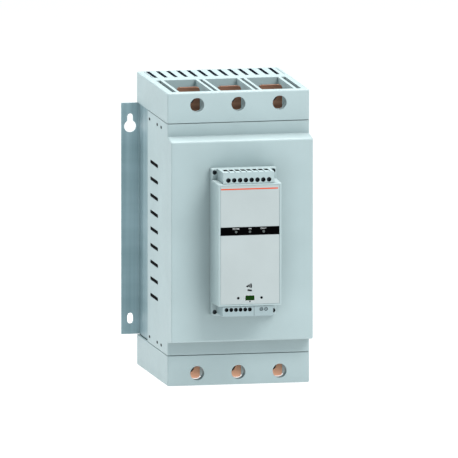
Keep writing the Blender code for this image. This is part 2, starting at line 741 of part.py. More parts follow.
def make_heat_sink():
    """The aluminium extrusion: a thick plate in front and a row of tapered fins behind."""
    half_width = WEB_OUTSIDE - SHEET - FIT
    root = HEAT_SINK_FACE + HEAT_SINK_BASE
    tip = REAR - FIT
    pitch = (2 * half_width - FIN_ROOT) / (FIN_COUNT - 1)
    outline = [(-half_width, HEAT_SINK_FACE), (half_width, HEAT_SINK_FACE)]
    for number in reversed(range(FIN_COUNT)):
        x = -half_width + FIN_ROOT / 2 + number * pitch
        outline += [(x + FIN_ROOT / 2, root), (x + FIN_TIP / 2, tip),
                    (x - FIN_TIP / 2, tip), (x - FIN_ROOT / 2, root)]
    length = BODY_HEIGHT - 2 * HEAT_SINK_END_GAP
    part("heat_sink", prism(outline, "Z", BODY_MIDDLE, length), ALUMINIUM)


def thyristor_module_mesh():
    """A thyristor module with its mounting plate at level zero, its terminals to the front."""
    half = MODULE_WIDTH / 2
    plate = box((-half, -MODULE_PLATE, -MODULE_LENGTH / 2), (half, 0.0, MODULE_LENGTH / 2))
    module = part("thyristor_module", plate, MODULE_PLASTIC)
    body = box((-half + FIT, -MODULE_BODY_HEIGHT, -MODULE_BODY_LENGTH / 2),
               (half - FIT, -MODULE_PLATE / 2, MODULE_BODY_LENGTH / 2))
    round_edges(body, EDGE_RADIUS, lambda edge: not lies_at(edge, 1, -MODULE_PLATE / 2), steps=1)
    posts = []
    wells = []
    for level in (-MODULE_POST_OFFSET, 0.0, MODULE_POST_OFFSET):
        reach = MODULE_POST_SIZE / 2
        posts.append(box((-reach, -MODULE_HEIGHT, level - reach),
                         (reach, -MODULE_BODY_HEIGHT / 2, level + reach)))
        wells.append(cylinder((0.0, -MODULE_HEIGHT, level), "Y", BAR_SCREW_DIAMETER + 2 * FIT,
                              2 * BAR_SCREW_LENGTH, 10))
    join(module, [body] + posts)
    feet = []
    for end in (-1, 1):
        inner = end * (MODULE_LENGTH / 2 - MODULE_FOOT_INSET)
        outer = end * (MODULE_LENGTH / 2 + MODULE_FOOT_INSET)
        outline = slot_outline((0.0, inner), (0.0, outer), MODULE_FOOT_SLOT)
        feet.append(prism(outline, "Y", -MODULE_PLATE / 2, 4 * MODULE_PLATE))
    cut(module, wells + feet)
    return pattern(module, MODULE_PLASTIC)


def bar_mesh():
    """A copper bar around the middle of the body: foot, joggle and lug end, upward."""
    foot_level = MODULE_POST_OFFSET
    start = foot_level + BAR_RISE_START
    end = BODY_HEIGHT / 2 + TERMINAL_COVER_HEIGHT - BAR_END_GAP
    points = [
        (BAR_FOOT_PLANE, foot_level - BAR_FOOT_OVERHANG),
        (BAR_FOOT_PLANE, start),
        (BAR_PLANE, start + BAR_JOGGLE),
        (BAR_PLANE, end),
    ]
    outline = strip_outline(rounded_path(points, BAR_BEND_RADIUS), BAR_THICKNESS)
    shape = prism(outline, "X", 0.0, BAR_WIDTH)
    round_edges(shape, BAR_CORNER_RADIUS,
                lambda edge: runs_along(edge, 1) and lies_at(edge, 2, end))
    bar = part("bar", shape, COPPER)
    cut(bar, [
        cylinder((0.0, BAR_PLANE, LUG_LEVEL), "Y", LUG_HOLE_DIAMETER, 2 * BAR_THICKNESS, 20),
        cylinder((0.0, BAR_FOOT_PLANE, foot_level), "Y", BAR_SCREW_DIAMETER + 2 * FIT,
                 2 * BAR_THICKNESS, 10),
    ])
    return pattern(bar, COPPER)


def lug_nut_mesh():
    """A press nut behind the lug end of a bar, its collar in the bar's hole."""
    seat = BAR_PLANE + BAR_THICKNESS / 2 + FIT
    shape = hexagon((0.0, seat + NUT_HEIGHT / 2, LUG_LEVEL), "Y", NUT_ACROSS_FLATS, NUT_HEIGHT)
    nut = part("nut", shape, ZINC)
    collar_end = seat - NUT_COLLAR_LENGTH
    collar = cylinder((0.0, (collar_end + seat + NUT_HEIGHT / 2) / 2, LUG_LEVEL), "Y",
                      LUG_HOLE_DIAMETER - 2 * FIT, seat + NUT_HEIGHT / 2 - collar_end)
    join(nut, [collar])
    cut(nut, [cylinder((0.0, seat, LUG_LEVEL), "Y", NUT_BORE, 3 * NUT_HEIGHT, 12)])
    return pattern(nut, ZINC)


def bar_screw_mesh():
    """The hexagon screw that holds a bar's foot to its module."""
    seat = BAR_FOOT_PLANE - BAR_THICKNESS / 2 - FIT
    middle = seat - BAR_SCREW_HEAD / 2
    shape = hexagon((0.0, middle, MODULE_POST_OFFSET), "Y", BAR_SCREW_ACROSS_FLATS, BAR_SCREW_HEAD)
    screw = part("bar_screw", shape, ZINC)
    shank_middle = seat + (BAR_SCREW_LENGTH - BAR_SCREW_HEAD / 2) / 2
    join(screw, [cylinder((0.0, shank_middle, MODULE_POST_OFFSET), "Y", BAR_SCREW_DIAMETER,
                          BAR_SCREW_LENGTH + BAR_SCREW_HEAD / 2, 10)])
    return pattern(screw, ZINC)


def make_power_path():
    """Modules, bars, nuts and screws of every phase; the load side is the line side turned over."""
    module = thyristor_module_mesh()
    repeated = {"bar": bar_mesh(), "lug_nut": lug_nut_mesh(), "bar_screw": bar_screw_mesh()}
    for number, x in enumerate(PHASE_PLACES, 1):
        place(f"thyristor_module_{number}", module, (x, HEAT_SINK_FACE - FIT, BODY_MIDDLE))
        for kind, mesh in repeated.items():
            place(f"line_{kind}_{number}", mesh, (x, 0.0, BODY_MIDDLE))
            place(f"load_{kind}_{number}", mesh, (x, 0.0, BODY_MIDDLE), math.pi)


def fan_frame_mesh():
    """A fan frame with its stator hub and struts, its intake at level zero."""
    half = FAN_SIZE / 2
    shape = box((-half, -half, 0.0), (half, half, FAN_HEIGHT))
    round_edges(shape, FAN_CORNER_RADIUS, lambda edge: runs_along(edge, 2), steps=1)
    frame = part("fan_frame", shape, BLACK_PLASTIC)
    middle = FAN_HEIGHT / 2
    length = FAN_HEIGHT + 2 * OVERCUT
    holes = [
        cylinder((x, y, middle), "Z", FAN_HOLE_DIAMETER, length, 6)
        for x in (FAN_HOLE_INSET - half, half - FAN_HOLE_INSET)
        for y in (FAN_HOLE_INSET - half, half - FAN_HOLE_INSET)
    ]
    cut(frame, [cylinder((0, 0, middle), "Z", FAN_DUCT_DIAMETER, length, 28)] + holes)
    plate_low = FAN_HEIGHT - FAN_MOTOR_PLATE
    plate_middle = plate_low + FAN_MOTOR_PLATE / 2
    stator_low = FAN_HUB_LOW + 2 * FAN_HUB_WALL
    stator_high = plate_low + FAN_MOTOR_PLATE / 2
    strut = FAN_STRUT_WIDTH / 2
    reach = (FAN_DUCT_DIAMETER + FAN_SIZE) / 4
    join(frame, [
        cylinder((0, 0, plate_middle), "Z", FAN_HUB_DIAMETER - 2 * FIT, FAN_MOTOR_PLATE, 16),
        cylinder((0, 0, (stator_low + stator_high) / 2), "Z", FAN_STATOR_DIAMETER,
                 stator_high - stator_low, 12),
        box((-reach, -strut, plate_low + strut), (reach, strut, FAN_HEIGHT - strut / 2)),
        box((-strut, -reach, plate_low + strut), (strut, reach, FAN_HEIGHT - strut / 2)),
    ])
    cut(frame, [cylinder((0, 0, middle), "Z", FAN_SHAFT_DIAMETER + 2 * FIT, length, 8)])
    return pattern(frame, BLACK_PLASTIC)


def fan_blade(number):
    """A twisted fan blade, turned to its place around the hub."""
    root = FAN_HUB_DIAMETER / 2 - FAN_HUB_WALL / 2
    shape = box((root, -FAN_BLADE_CHORD / 2, -FAN_BLADE_THICKNESS / 2),
                (FAN_BLADE_TIP, FAN_BLADE_CHORD / 2, FAN_BLADE_THICKNESS / 2))
    long_edges = [edge for edge in shape.edges if runs_along(edge, 0)]
    bmesh.ops.subdivide_edges(shape, edges=long_edges, cuts=1, use_grid_fill=True)
    for vert in shape.verts:
        share = (vert.co.x - root) / (FAN_BLADE_TIP - root)
        pitch = FAN_ROOT_PITCH + (FAN_TIP_PITCH - FAN_ROOT_PITCH) * share
        vert.co = Matrix.Rotation(pitch, 3, "X") @ vert.co
    turn = Matrix.Rotation(2 * math.pi * number / FAN_BLADES, 4, "Z")
    bmesh.ops.transform(shape, matrix=turn, verts=shape.verts)
    level = (FAN_HUB_LOW + FAN_HUB_HIGH) / 2
    bmesh.ops.translate(shape, vec=(0, 0, level), verts=shape.verts)
    bmesh.ops.triangulate(shape, faces=shape.faces)
    return shape


def fan_rotor_mesh():
    """A fan impeller on its shaft: a cup around the stator with twisted blades."""
    hub_middle = (FAN_HUB_LOW + FAN_HUB_HIGH) / 2
    hub_height = FAN_HUB_HIGH - FAN_HUB_LOW
    shape = cylinder((0, 0, hub_middle), "Z", FAN_HUB_DIAMETER, hub_height, 3 * FAN_BLADES)
    rotor = part("fan_rotor", shape, BLACK_PLASTIC)
    join(rotor, [fan_blade(number) for number in range(FAN_BLADES)])
    hollow_low = FAN_HUB_LOW + FAN_HUB_WALL
    cut(rotor, [cylinder((0, 0, hollow_low + hub_height / 2), "Z", FAN_HUB_DIAMETER - 2 * FAN_HUB_WALL,
                         hub_height, 16)])
    shaft_low = FAN_HUB_LOW + FAN_HUB_WALL / 2
    shaft_high = FAN_HEIGHT - FAN_MOTOR_PLATE / 2
    join(rotor, [cylinder((0, 0, (shaft_low + shaft_high) / 2), "Z", FAN_SHAFT_DIAMETER,
                          shaft_high - shaft_low, 8)])
    return pattern(rotor, BLACK_PLASTIC)


def make_fans():
    """A fan under each phase, seated on the lower grille, with its axis upright."""
    frame = fan_frame_mesh()
    rotor = fan_rotor_mesh()
    level = VENT_WALL + FIT
    for number, x in enumerate(PHASE_PLACES, 1):
        place(f"fan_frame_{number}", frame, (x, FAN_CENTRE, level))
        place(f"fan_rotor_{number}", rotor, (x, FAN_CENTRE, level))


def component(x, seat, level, size):
    """A box-shaped component on a board; with a negative depth it stands on the board's front."""
    width, depth, height = size
    return box((x - width / 2, seat, level - height / 2), (x + width / 2, seat + depth, level + height / 2))


def make_firing_board():
    """The circuit board behind the front wall, with its pulse transformers and supply."""
    front = FRONT + FIRING_BOARD_SETBACK
    size = (FIRING_BOARD_WIDTH, BOARD_THICKNESS, FIRING_BOARD_HEIGHT)
    board = part("firing_board", component(0.0, front, BODY_MIDDLE, size), BOARD_GREEN)
    seat = front + BOARD_THICKNESS / 2
    components = [component(0.0, seat, BODY_MIDDLE - SUPPLY_DROP, SUPPLY_SIZE)]
    for x in PHASE_PLACES:
        components.append(component(x, seat, BODY_MIDDLE + TRANSFORMER_RISE, TRANSFORMER_SIZE))
        components.append(component(x, seat, BODY_MIDDLE - SNUBBER_DROP, SNUBBER_SIZE))
    for x in (-CAPACITOR_REACH, CAPACITOR_REACH):
        centre = (x, seat + CAPACITOR_LENGTH / 2, BODY_MIDDLE - SUPPLY_DROP)
        components.append(cylinder(centre, "Y", CAPACITOR_DIAMETER, CAPACITOR_LENGTH, 12))
    join(board, components)


def make_thermal_switch():
    """The thermal switch on the heat sink plate, over the gap between two modules."""
    x = (PHASE_PLACES[0] + PHASE_PLACES[1]) / 2
    level = BODY_MIDDLE + THERMAL_SWITCH_RISE
    seat = HEAT_SINK_FACE - FIT
    width, thickness, height = THERMAL_FLANGE_SIZE
    flange = component(x, seat, level, (width, -thickness, height))
    switch = part("thermal_switch", flange, MODULE_PLASTIC)
    can_rear = seat - thickness / 2
    can_front = seat - THERMAL_SWITCH_HEIGHT
    join(switch, [cylinder((x, (can_rear + can_front) / 2, level), "Y", THERMAL_SWITCH_DIAMETER,
                           can_rear - can_front, 16)])


def base_screw_places():
    """The four corner screws of the control base, from its middle and its low end."""
    reach = CONTROL_WIDTH / 2 - BASE_SCREW_INSET_X
    levels = (BASE_SCREW_INSET_Z, CONTROL_HEIGHT - BASE_SCREW_INSET_Z)
    return [(x, z) for z in levels for x in (-reach, reach)]


def make_control_base(unit):
    """The control unit's base: a shallow tray with screw blocks in its corners."""
    half = CONTROL_WIDTH / 2
    shape = box((-half, -CONTROL_BASE_THICKNESS, 0.0), (half, -FIT, CONTROL_HEIGHT))
    round_edges(shape, CONTROL_EDGE_RADIUS, lambda edge: not lies_at(edge, 1, -FIT))
    base = part("control_base", shape, CONTROL_PLASTIC, unit)
    recess_front = -CONTROL_BASE_THICKNESS + CONTROL_WALL
    wide = half - CONTROL_WALL
    narrow = half - BASE_CORNER_BLOCK
    cutters = [
        box((-wide, recess_front, BASE_CORNER_BLOCK), (wide, OVERCUT, CONTROL_HEIGHT - BASE_CORNER_BLOCK)),
        box((-narrow, recess_front, CONTROL_WALL), (narrow, OVERCUT, CONTROL_HEIGHT - CONTROL_WALL)),
        box((-half + BASE_WINDOW_MARGIN, -CONTROL_BASE_THICKNESS - OVERCUT, BOX_LOW + BASE_WINDOW_MARGIN),
            (half - BASE_WINDOW_MARGIN, OVERCUT, BOX_HIGH - BASE_WINDOW_MARGIN)),
    ]
    for x, z in base_screw_places():
        cutters.append(cylinder((x, -CONTROL_BASE_THICKNESS, z), "Y", BASE_SCREW_SINK,
                                2 * BASE_SCREW_SINK_DEPTH, 12))
        cutters.append(cylinder((x, -CONTROL_BASE_THICKNESS / 2, z), "Y", BASE_SCREW_DIAMETER + 2 * FIT,
                                2 * CONTROL_BASE_THICKNESS, 8))
    cut(base, cutters)


def drafted_box(half_width, low, high, rear, front, draft):
    """A box whose sides and ends lean in towards its front face."""
    shape = box((-half_width, front, low), (half_width, rear, high))
    middle = (low + high) / 2
    for vert in shape.verts:
        if abs(vert.co.y - front) < WELD:
            vert.co.x -= math.copysign(draft, vert.co.x)
            vert.co.z -= math.copysign(draft / 2, vert.co.z - middle)
    return shape


def control_apertures(rear, front):
    """Cutters through the control unit's front for the lights, the window and the two pins."""
    middle = (rear + front) / 2
    length = rear - front
    cutters = [
        cylinder((x, middle, LIGHT_LEVEL), "Y", LIGHT_DIAMETER + 2 * FIT, length, 10) for x in LIGHT_PLACES
    ]
    for x in (-PIN_HOLE_SPACING / 2, PIN_HOLE_SPACING / 2):
        cutters.append(cylinder((x, middle, OPTICAL_LEVEL), "Y", PIN_HOLE_DIAMETER, length, 10))
    half_width = OPTICAL_WIDTH / 2 + FIT
    half_height = OPTICAL_HEIGHT / 2 + FIT
    cutters.append(box((-half_width, front, OPTICAL_LEVEL - half_height),
                       (half_width, rear, OPTICAL_LEVEL + half_height)))
    return cutters


def make_control_housing(unit):
    """The control unit's drafted hood, with a recess for its front panel."""
    half = CONTROL_WIDTH / 2
    shape = drafted_box(half, BOX_LOW, BOX_HIGH, BOX_REAR, BOX_FRONT, CONTROL_BOX_DRAFT)
    round_edges(shape, CONTROL_EDGE_RADIUS, lambda edge: not lies_at(edge, 1, BOX_REAR))
    housing = part("control_housing", shape, CONTROL_PLASTIC, unit)
    cavity_front = PANEL_REAR + FIT + CONTROL_WALL
    cavity = drafted_box(half - CONTROL_WALL, BOX_LOW + CONTROL_WALL, BOX_HIGH - CONTROL_WALL,
                         BOX_REAR + OVERCUT, cavity_front, CONTROL_BOX_DRAFT)
    reach, low, high = panel_edges()
    recess = box((-reach - FIT, BOX_FRONT - OVERCUT, low - FIT), (reach + FIT, PANEL_REAR + FIT, high + FIT))
    cut(housing, [cavity, recess] + control_apertures(cavity_front + OVERCUT, BOX_FRONT - OVERCUT))


def panel_edges():
    """Half the width of the front panel, and the levels of its low and high edges."""
    reach = CONTROL_WIDTH / 2 - CONTROL_BOX_DRAFT - PANEL_MARGIN_X
    return reach, BOX_LOW + PANEL_MARGIN_Z, BOX_HIGH - PANEL_MARGIN_Z


def make_front_panel(unit):
    """The flat front panel, the dark strip in its groove, its lights and its optical window."""
    reach, low, high = panel_edges()
    face = BOX_FRONT + FIT / 2
    panel = part("front_panel", box((-reach, face, low), (reach, PANEL_REAR, high)), PANEL_PLASTIC, unit)
    strip_rear = face + BAND_THICKNESS
    groove = box((-reach - OVERCUT, face - OVERCUT, BAND_LEVEL - BAND_HEIGHT / 2 - FIT),
                 (reach + OVERCUT, strip_rear + FIT, BAND_LEVEL + BAND_HEIGHT / 2 + FIT))
    cut(panel, [groove] + control_apertures(PANEL_REAR + OVERCUT, face - OVERCUT))
    strip = part("indicator_strip", box((-reach, face, BAND_LEVEL - BAND_HEIGHT / 2),
                                        (reach, strip_rear, BAND_LEVEL + BAND_HEIGHT / 2)),
                 STRIP_BLACK, unit)
    cut(strip, [
        cylinder((x, face, LIGHT_LEVEL), "Y", LIGHT_DIAMETER + 2 * FIT, 4 * BAND_THICKNESS, 10)
        for x in LIGHT_PLACES
    ])
    pipe_rear = BOX_REAR - BOARD_THICKNESS - FIT
    for number, x in enumerate(LIGHT_PLACES, 1):
        pipe = cylinder((x, (face + pipe_rear) / 2, LIGHT_LEVEL), "Y", LIGHT_DIAMETER, pipe_rear - face, 10)
        part(f"status_light_{number}", pipe, LIGHT_CLEAR, unit)
    part("optical_window", box((-OPTICAL_WIDTH / 2, face, OPTICAL_LEVEL - OPTICAL_HEIGHT / 2),
                               (OPTICAL_WIDTH / 2, face + OPTICAL_THICKNESS,
                                OPTICAL_LEVEL + OPTICAL_HEIGHT / 2)), WINDOW_GREEN, unit)


def make_control_board(unit):
    """The control unit's circuit board on the front of its base, with its relays and optical port."""
    reach = CONTROL_WIDTH / 2 - CONTROL_BOARD_MARGIN
    low = BOX_LOW + CONTROL_BOARD_MARGIN
    high = BOX_HIGH - CONTROL_BOARD_MARGIN
    front = BOX_REAR - BOARD_THICKNESS
    board = part("control_board", box((-reach, front, low), (reach, BOX_REAR, high)), BOARD_GREEN, unit)
    seat = front + BOARD_THICKNESS / 2
    port_front = BOX_FRONT + OPTICAL_THICKNESS + 3 * FIT
    port_size = (OPTICAL_WIDTH / 2, port_front - seat, OPTICAL_HEIGHT / 2)
    join(board, [
        component(-RELAY_REACH, seat, high - RELAY_DROP, RELAY_SIZE),
        component(RELAY_REACH, seat, high - RELAY_DROP, RELAY_SIZE),
        component(0.0, seat, BAND_LEVEL - CHIP_DROP, CHIP_SIZE),
        component(0.0, seat, OPTICAL_LEVEL, port_size),
    ])


def hood_lean(front):
    """How far the hood's top and bottom have leaned in, from the base to a place in front of it."""
    return CONTROL_BOX_DRAFT / 2 * (BOX_REAR - front) / (BOX_REAR - BOX_FRONT)


def block_on_hood(front, middle, width, seat, outer):
    """A terminal block that lies on the leaning top or bottom of the hood."""
    lean = math.copysign(hood_lean(front), outer - seat)
    outline = [(front, seat - lean), (BOX_REAR, seat), (BOX_REAR, outer), (front, outer)]
    return prism(outline, "X", middle, width)


def make_upper_block(unit):
    """The eight-way terminal block above the hood: screws in front, wire entries on top."""
    front = UPPER_BLOCK_FRONT
    shape = block_on_hood(front, UPPER_BLOCK_SHIFT, UPPER_BLOCK_WIDTH, BOX_HIGH + FIT, CONTROL_HEIGHT)
    block = part("upper_terminal_block", shape, CONTROL_PLASTIC, unit)
    level = CONTROL_HEIGHT - UPPER_SCREW_DROP
    cutters = []
    for number in range(UPPER_WAYS):
        x = UPPER_BLOCK_SHIFT + (number - (UPPER_WAYS - 1) / 2) * UPPER_PITCH
        cutters.append(cylinder((x, front, level), "Y", UPPER_SCREW_HOLE, 2 * SCREW_HOLE_DEPTH, 12))
        entry = front + UPPER_ENTRY_SETBACK
        cutters.append(box((x - UPPER_ENTRY_WIDTH / 2, entry, BOX_HIGH + 2 * CONTROL_WALL),
                           (x + UPPER_ENTRY_WIDTH / 2, entry + UPPER_ENTRY_LENGTH,
                            CONTROL_HEIGHT + OVERCUT)))
        rule = x + UPPER_ENTRY_WIDTH / 2
        rule_low = CONTROL_HEIGHT - UPPER_RULE_DEPTH
        cutters.append(box((rule - UPPER_RULE_WIDTH, front + UPPER_RULE_END, rule_low),
                           (rule, entry + OVERCUT, CONTROL_HEIGHT + OVERCUT)))
    cut(block, cutters)


def make_lower_block(unit):
    """The six-way terminal block below the hood, with wire funnels along its low front edge."""
    middle = LOWER_BLOCK_LEFT + LOWER_BLOCK_WIDTH / 2
    front = LOWER_BLOCK_FRONT
    low = BOX_LOW - LOWER_BLOCK_HEIGHT
    shape = block_on_hood(front, middle, LOWER_BLOCK_WIDTH, BOX_LOW - FIT, low)
    block = part("lower_terminal_block", shape, CONTROL_PLASTIC, unit)
    cutters = []
    for number in range(LOWER_WAYS):
        x = middle + (number - (LOWER_WAYS - 1) / 2) * LOWER_PITCH
        level = BOX_LOW - LOWER_SCREW_DROP
        cutters.append(cylinder((x, front, level), "Y", LOWER_SCREW_HOLE, 2 * SCREW_HOLE_DEPTH, 10))
        funnel = (x, front + LOWER_ENTRY_SETBACK, low)
        cutters.append(cone(funnel, "Z", LOWER_ENTRY_DIAMETER / 2, LOWER_ENTRY_DIAMETER / 4,
                            LOWER_ENTRY_DIAMETER, 10))
    cut(block, cutters)


def plug_screw_places():
    """The places of the plug's screws across the control unit."""
    return [PLUG_MIDDLE + (number - (PLUG_WAYS - 1) / 2) * LOWER_PITCH for number in range(PLUG_WAYS)]


def make_lower_plug(unit):
    """The two-way connector beside the six-way block, with its two clamping screws."""
    front = LOWER_BLOCK_FRONT
    low = BOX_LOW - LOWER_BLOCK_HEIGHT
    shape = block_on_hood(front, PLUG_MIDDLE, PLUG_WIDTH, BOX_LOW - FIT, low)
    plug = part("lower_plug", shape, CONTROL_PLASTIC, unit)
    level = BOX_LOW - LOWER_SCREW_DROP
    cut(plug, [
        cylinder((x, front, level), "Y", PLUG_SCREW_HOLE, 2 * SCREW_HOLE_DEPTH, 12)
        for x in plug_screw_places()
    ])
    head_front = front + SCREW_SINK
    head_rear = front + SCREW_HOLE_DEPTH - FIT
    for number, x in enumerate(plug_screw_places(), 1):
        shape = cylinder((x, (head_front + head_rear) / 2, level), "Y", PLUG_SCREW_HOLE - 2 * FIT,
                         head_rear - head_front, 12)
        screw = part(f"plug_screw_{number}", shape, ZINC, unit)
        reach = PLUG_SCREW_HOLE
        cut(screw, [box((x - reach, head_front - OVERCUT, level - SCREW_SINK / 2),
                        (x + reach, head_front + SCREW_SINK, level + SCREW_SINK / 2))])


def make_base_screws(unit):
    """The four screws that hold the control unit to the body cover."""
    seat = -CONTROL_BASE_THICKNESS + BASE_SCREW_SINK_DEPTH - FIT
    for number, (x, z) in enumerate(base_screw_places(), 1):
        head_middle = seat - BASE_SCREW_HEAD_HEIGHT / 2
        shape = cylinder((x, head_middle, z), "Y", BASE_SCREW_HEAD, BASE_SCREW_HEAD_HEIGHT, 10)
        screw = part(f"base_screw_{number}", shape, BLACK_STEEL, unit)
        shank_start = seat - BASE_SCREW_HEAD_HEIGHT / 2
        shank_end = seat + BASE_SCREW_LENGTH
        join(screw, [cylinder((x, (shank_start + shank_end) / 2, z), "Y", BASE_SCREW_DIAMETER,
                              shank_end - shank_start, 8)])


def make_control_unit():
    """Every piece of the control unit, carried by an empty on the raised front."""
    unit = bpy.data.objects.new("control_unit", None)
    PARTS.objects.link(unit)
    unit.location = (0.0, RAISED_FACE, CONTROL_LOW)
    make_control_base(unit)
    make_control_housing(unit)
    make_front_panel(unit)
    make_control_board(unit)
    make_upper_block(unit)
    make_lower_block(unit)
    make_lower_plug(unit)
    make_base_screws(unit)


clear_scene()
PARTS = new_collection("Thyristor module")
CUTTERS = new_collection("Cutters")

PLASTIC = new_material("Blue-grey moulded plastic", (0.55, 0.66, 0.68), 0.55)
CONTROL_PLASTIC = new_material("Pale grey moulded plastic", (0.62, 0.70, 0.71), 0.5)
PANEL_PLASTIC = new_material("Panel plastic", (0.63, 0.67, 0.67), 0.45)
STRIP_BLACK = new_material("Black strip", (0.01, 0.01, 0.012), 0.25)
LIGHT_CLEAR = new_material("Light pipe", (0.6, 0.7, 0.65), 0.2)
WINDOW_GREEN = new_material("Green optical window", (0.01, 0.06, 0.01), 0.15)
STEEL = new_material("Zinc-plated sheet steel", (0.25, 0.33, 0.35), 0.4, 0.8)
ALUMINIUM = new_material("Extruded aluminium", (0.55, 0.56, 0.57), 0.4, 0.9)
COPPER = new_material("Copper", (0.6, 0.27, 0.16), 0.4, 0.9)
ZINC = new_material("Zinc-plated steel", (0.5, 0.52, 0.53), 0.35, 0.9)
BLACK_STEEL = new_material("Blackened steel", (0.02, 0.02, 0.022), 0.4, 0.7)
MODULE_PLASTIC = new_material("Dark potted plastic", (0.05, 0.05, 0.055), 0.5)
BLACK_PLASTIC = new_material("Black fan plastic", (0.02, 0.02, 0.022), 0.5)
BOARD_GREEN = new_material("Circuit board", (0.03, 0.2, 0.08), 0.5)

make_body_cover()
make_terminal_covers()
make_bracket("bracket_left", -1)
make_bracket("bracket_right", 1)
make_heat_sink()
make_power_path()
make_fans()
make_firing_board()
make_thermal_switch()
make_control_unit()
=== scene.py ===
"""Looks of the thyristor module: materials, printed marks, small fasteners, floor, light and camera."""
import json
import math

import bmesh
import bpy
from mathutils import Matrix, Vector


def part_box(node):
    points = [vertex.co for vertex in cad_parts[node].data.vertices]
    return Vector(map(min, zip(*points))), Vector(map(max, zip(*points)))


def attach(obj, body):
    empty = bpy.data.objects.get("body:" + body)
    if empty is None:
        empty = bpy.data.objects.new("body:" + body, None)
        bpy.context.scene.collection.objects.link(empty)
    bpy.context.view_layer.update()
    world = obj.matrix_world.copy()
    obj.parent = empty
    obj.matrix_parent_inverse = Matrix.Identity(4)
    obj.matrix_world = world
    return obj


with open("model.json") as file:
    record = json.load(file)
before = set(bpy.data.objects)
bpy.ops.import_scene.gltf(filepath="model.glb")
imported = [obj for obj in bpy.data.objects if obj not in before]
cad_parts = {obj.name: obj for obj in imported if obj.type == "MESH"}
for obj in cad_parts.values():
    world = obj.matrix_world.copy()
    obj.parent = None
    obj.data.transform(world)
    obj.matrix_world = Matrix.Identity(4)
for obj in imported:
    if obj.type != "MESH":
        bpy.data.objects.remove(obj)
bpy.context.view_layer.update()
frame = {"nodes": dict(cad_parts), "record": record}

BODY = "enclosure"

# Camera, as the photograph shows the module: a view without perspective
AZIMUTH = math.radians(-11.65)
ELEVATION = math.radians(8.54)
FRAME_SIZE = 0.490
AIM = Vector((0.0002, 0.0, 0.1606))
CAMERA_DISTANCE = 2.0

# Light: the floor glows, so it also lights the module from below; a light has a place, size, power, colour
FLOOR_REACH = 6.0
FLOOR_COLOUR = (0.30, 0.30, 0.30)
FLOOR_ROUGHNESS = 0.9
FLOOR_EMISSION = (1.0, 1.0, 1.0)
FLOOR_GLOW = 0.86
SKY_COLOUR = (0.72, 0.95, 1.0)
SKY_STRENGTH = 0.42
LIGHTS = {
    "key": ((0.70, -1.40, 1.50), 0.9, 23.5, (1.0, 0.98, 0.97)),
    "overhead": ((0.05, 0.05, 1.60), 0.9, 26.0, (1.0, 0.94, 0.92)),
    "left": ((-0.95, 0.75, 0.85), 0.7, 8.2, (1.0, 0.99, 0.98)),
}

# Printed marks on the front panel: colours, words and their places across, the rule's reach, level and width
PANEL_FACE = -0.11185
PRINT_THICKNESS = 0.00008
WHITE = (0.90, 0.92, 0.92)
INK = (0.012, 0.012, 0.014)
ORANGE_RED = (0.78, 0.085, 0.02)
LABELS = (("POWER", -0.0153), ("ON", 0.0), ("FAULT", 0.0148))
LABEL_SIZE = 0.0021
LABEL_LEVEL = 0.1768
LABEL_BOLDNESS = 0.012
LABEL_SMOOTHNESS = 3
RULE = ((-0.0316, 0.0306), 0.2205, 0.0013)
MARK_CENTRE = (-0.0002, 0.1136)
ARC_SOURCE = (-0.0024, 0.0020)
ARC_RADII = (0.0026, 0.0042)
ARC_WIDTH = 0.0013
ARC_ANGLES = (-34.0, 36.0)
TICK_START = (0.0006, -0.0010)
TICK_ENDS = ((-0.0012, -0.0002), (0.0008, 0.0012))
TICK_WIDTH = 0.0015
WAVE = ((-0.0024, -0.0030), (-0.0009, -0.0024), (0.0005, -0.0034), (0.0021, -0.0026))
WAVE_WIDTH = 0.0019
TRIANGLE_CENTRE = (0.0, 0.0984)
TRIANGLE_SIZE = 0.0021
WINDOW_LEVEL = 0.1025
WINDOW_HALF = (0.00465, 0.0024)
BORDER_WIDTH = 0.0004
BORDER_GAP = 0.0004

# Terminal screws, and dark linings that paint shade in the holes of the control unit: front plane, level,
# diameter, places
UPPER_HOLES = (-0.1110, 0.2300, 0.0051, [-0.0011 + (way - 3.5) * 0.00635 for way in range(8)])
LOWER_HOLES = (-0.1100, 0.0898, 0.0044, [-0.0124 + (way - 2.5) * 0.00508 for way in range(6)])
BASE_HOLES = [(-0.0800, level, 0.0048, (-0.032, 0.032)) for level in (0.0835, 0.2345)]
PIN_PLACES = (-0.0127, 0.0127)
PIN_DIAMETER = 0.003
PIN_SINK = 0.0004
PIN_THICKNESS = 0.0009
HOLE_DEPTH = 0.008
BASE_HOLE_DEPTH = 0.0032
SHADE_LINING_WALL = 0.00015
SHADE_LINING_GAP = 0.00002
SCREW_SINK = 0.0042
SCREW_SLOT = 0.0007
RING_STEPS = 24
HALF_HEAD_STEPS = 10

# Wire entries on top of the upper block, with dark linings, lips and groove fills that paint shade
ENTRY_LEVEL = 0.2385
ENTRY_WIDTH = 0.004
ENTRY_REACH = (-0.0988, -0.0913)
ENTRY_DEPTH = 0.006
ENTRY_LIP_SIDE = 0.0003
ENTRY_LIP_END = 0.0014
LIP_HEIGHT = 0.00005
RULE_GROOVE_WIDTH = 0.0008
RULE_GROOVE_DEPTH = 0.0012
RULE_GROOVE_FRONT = -0.1098
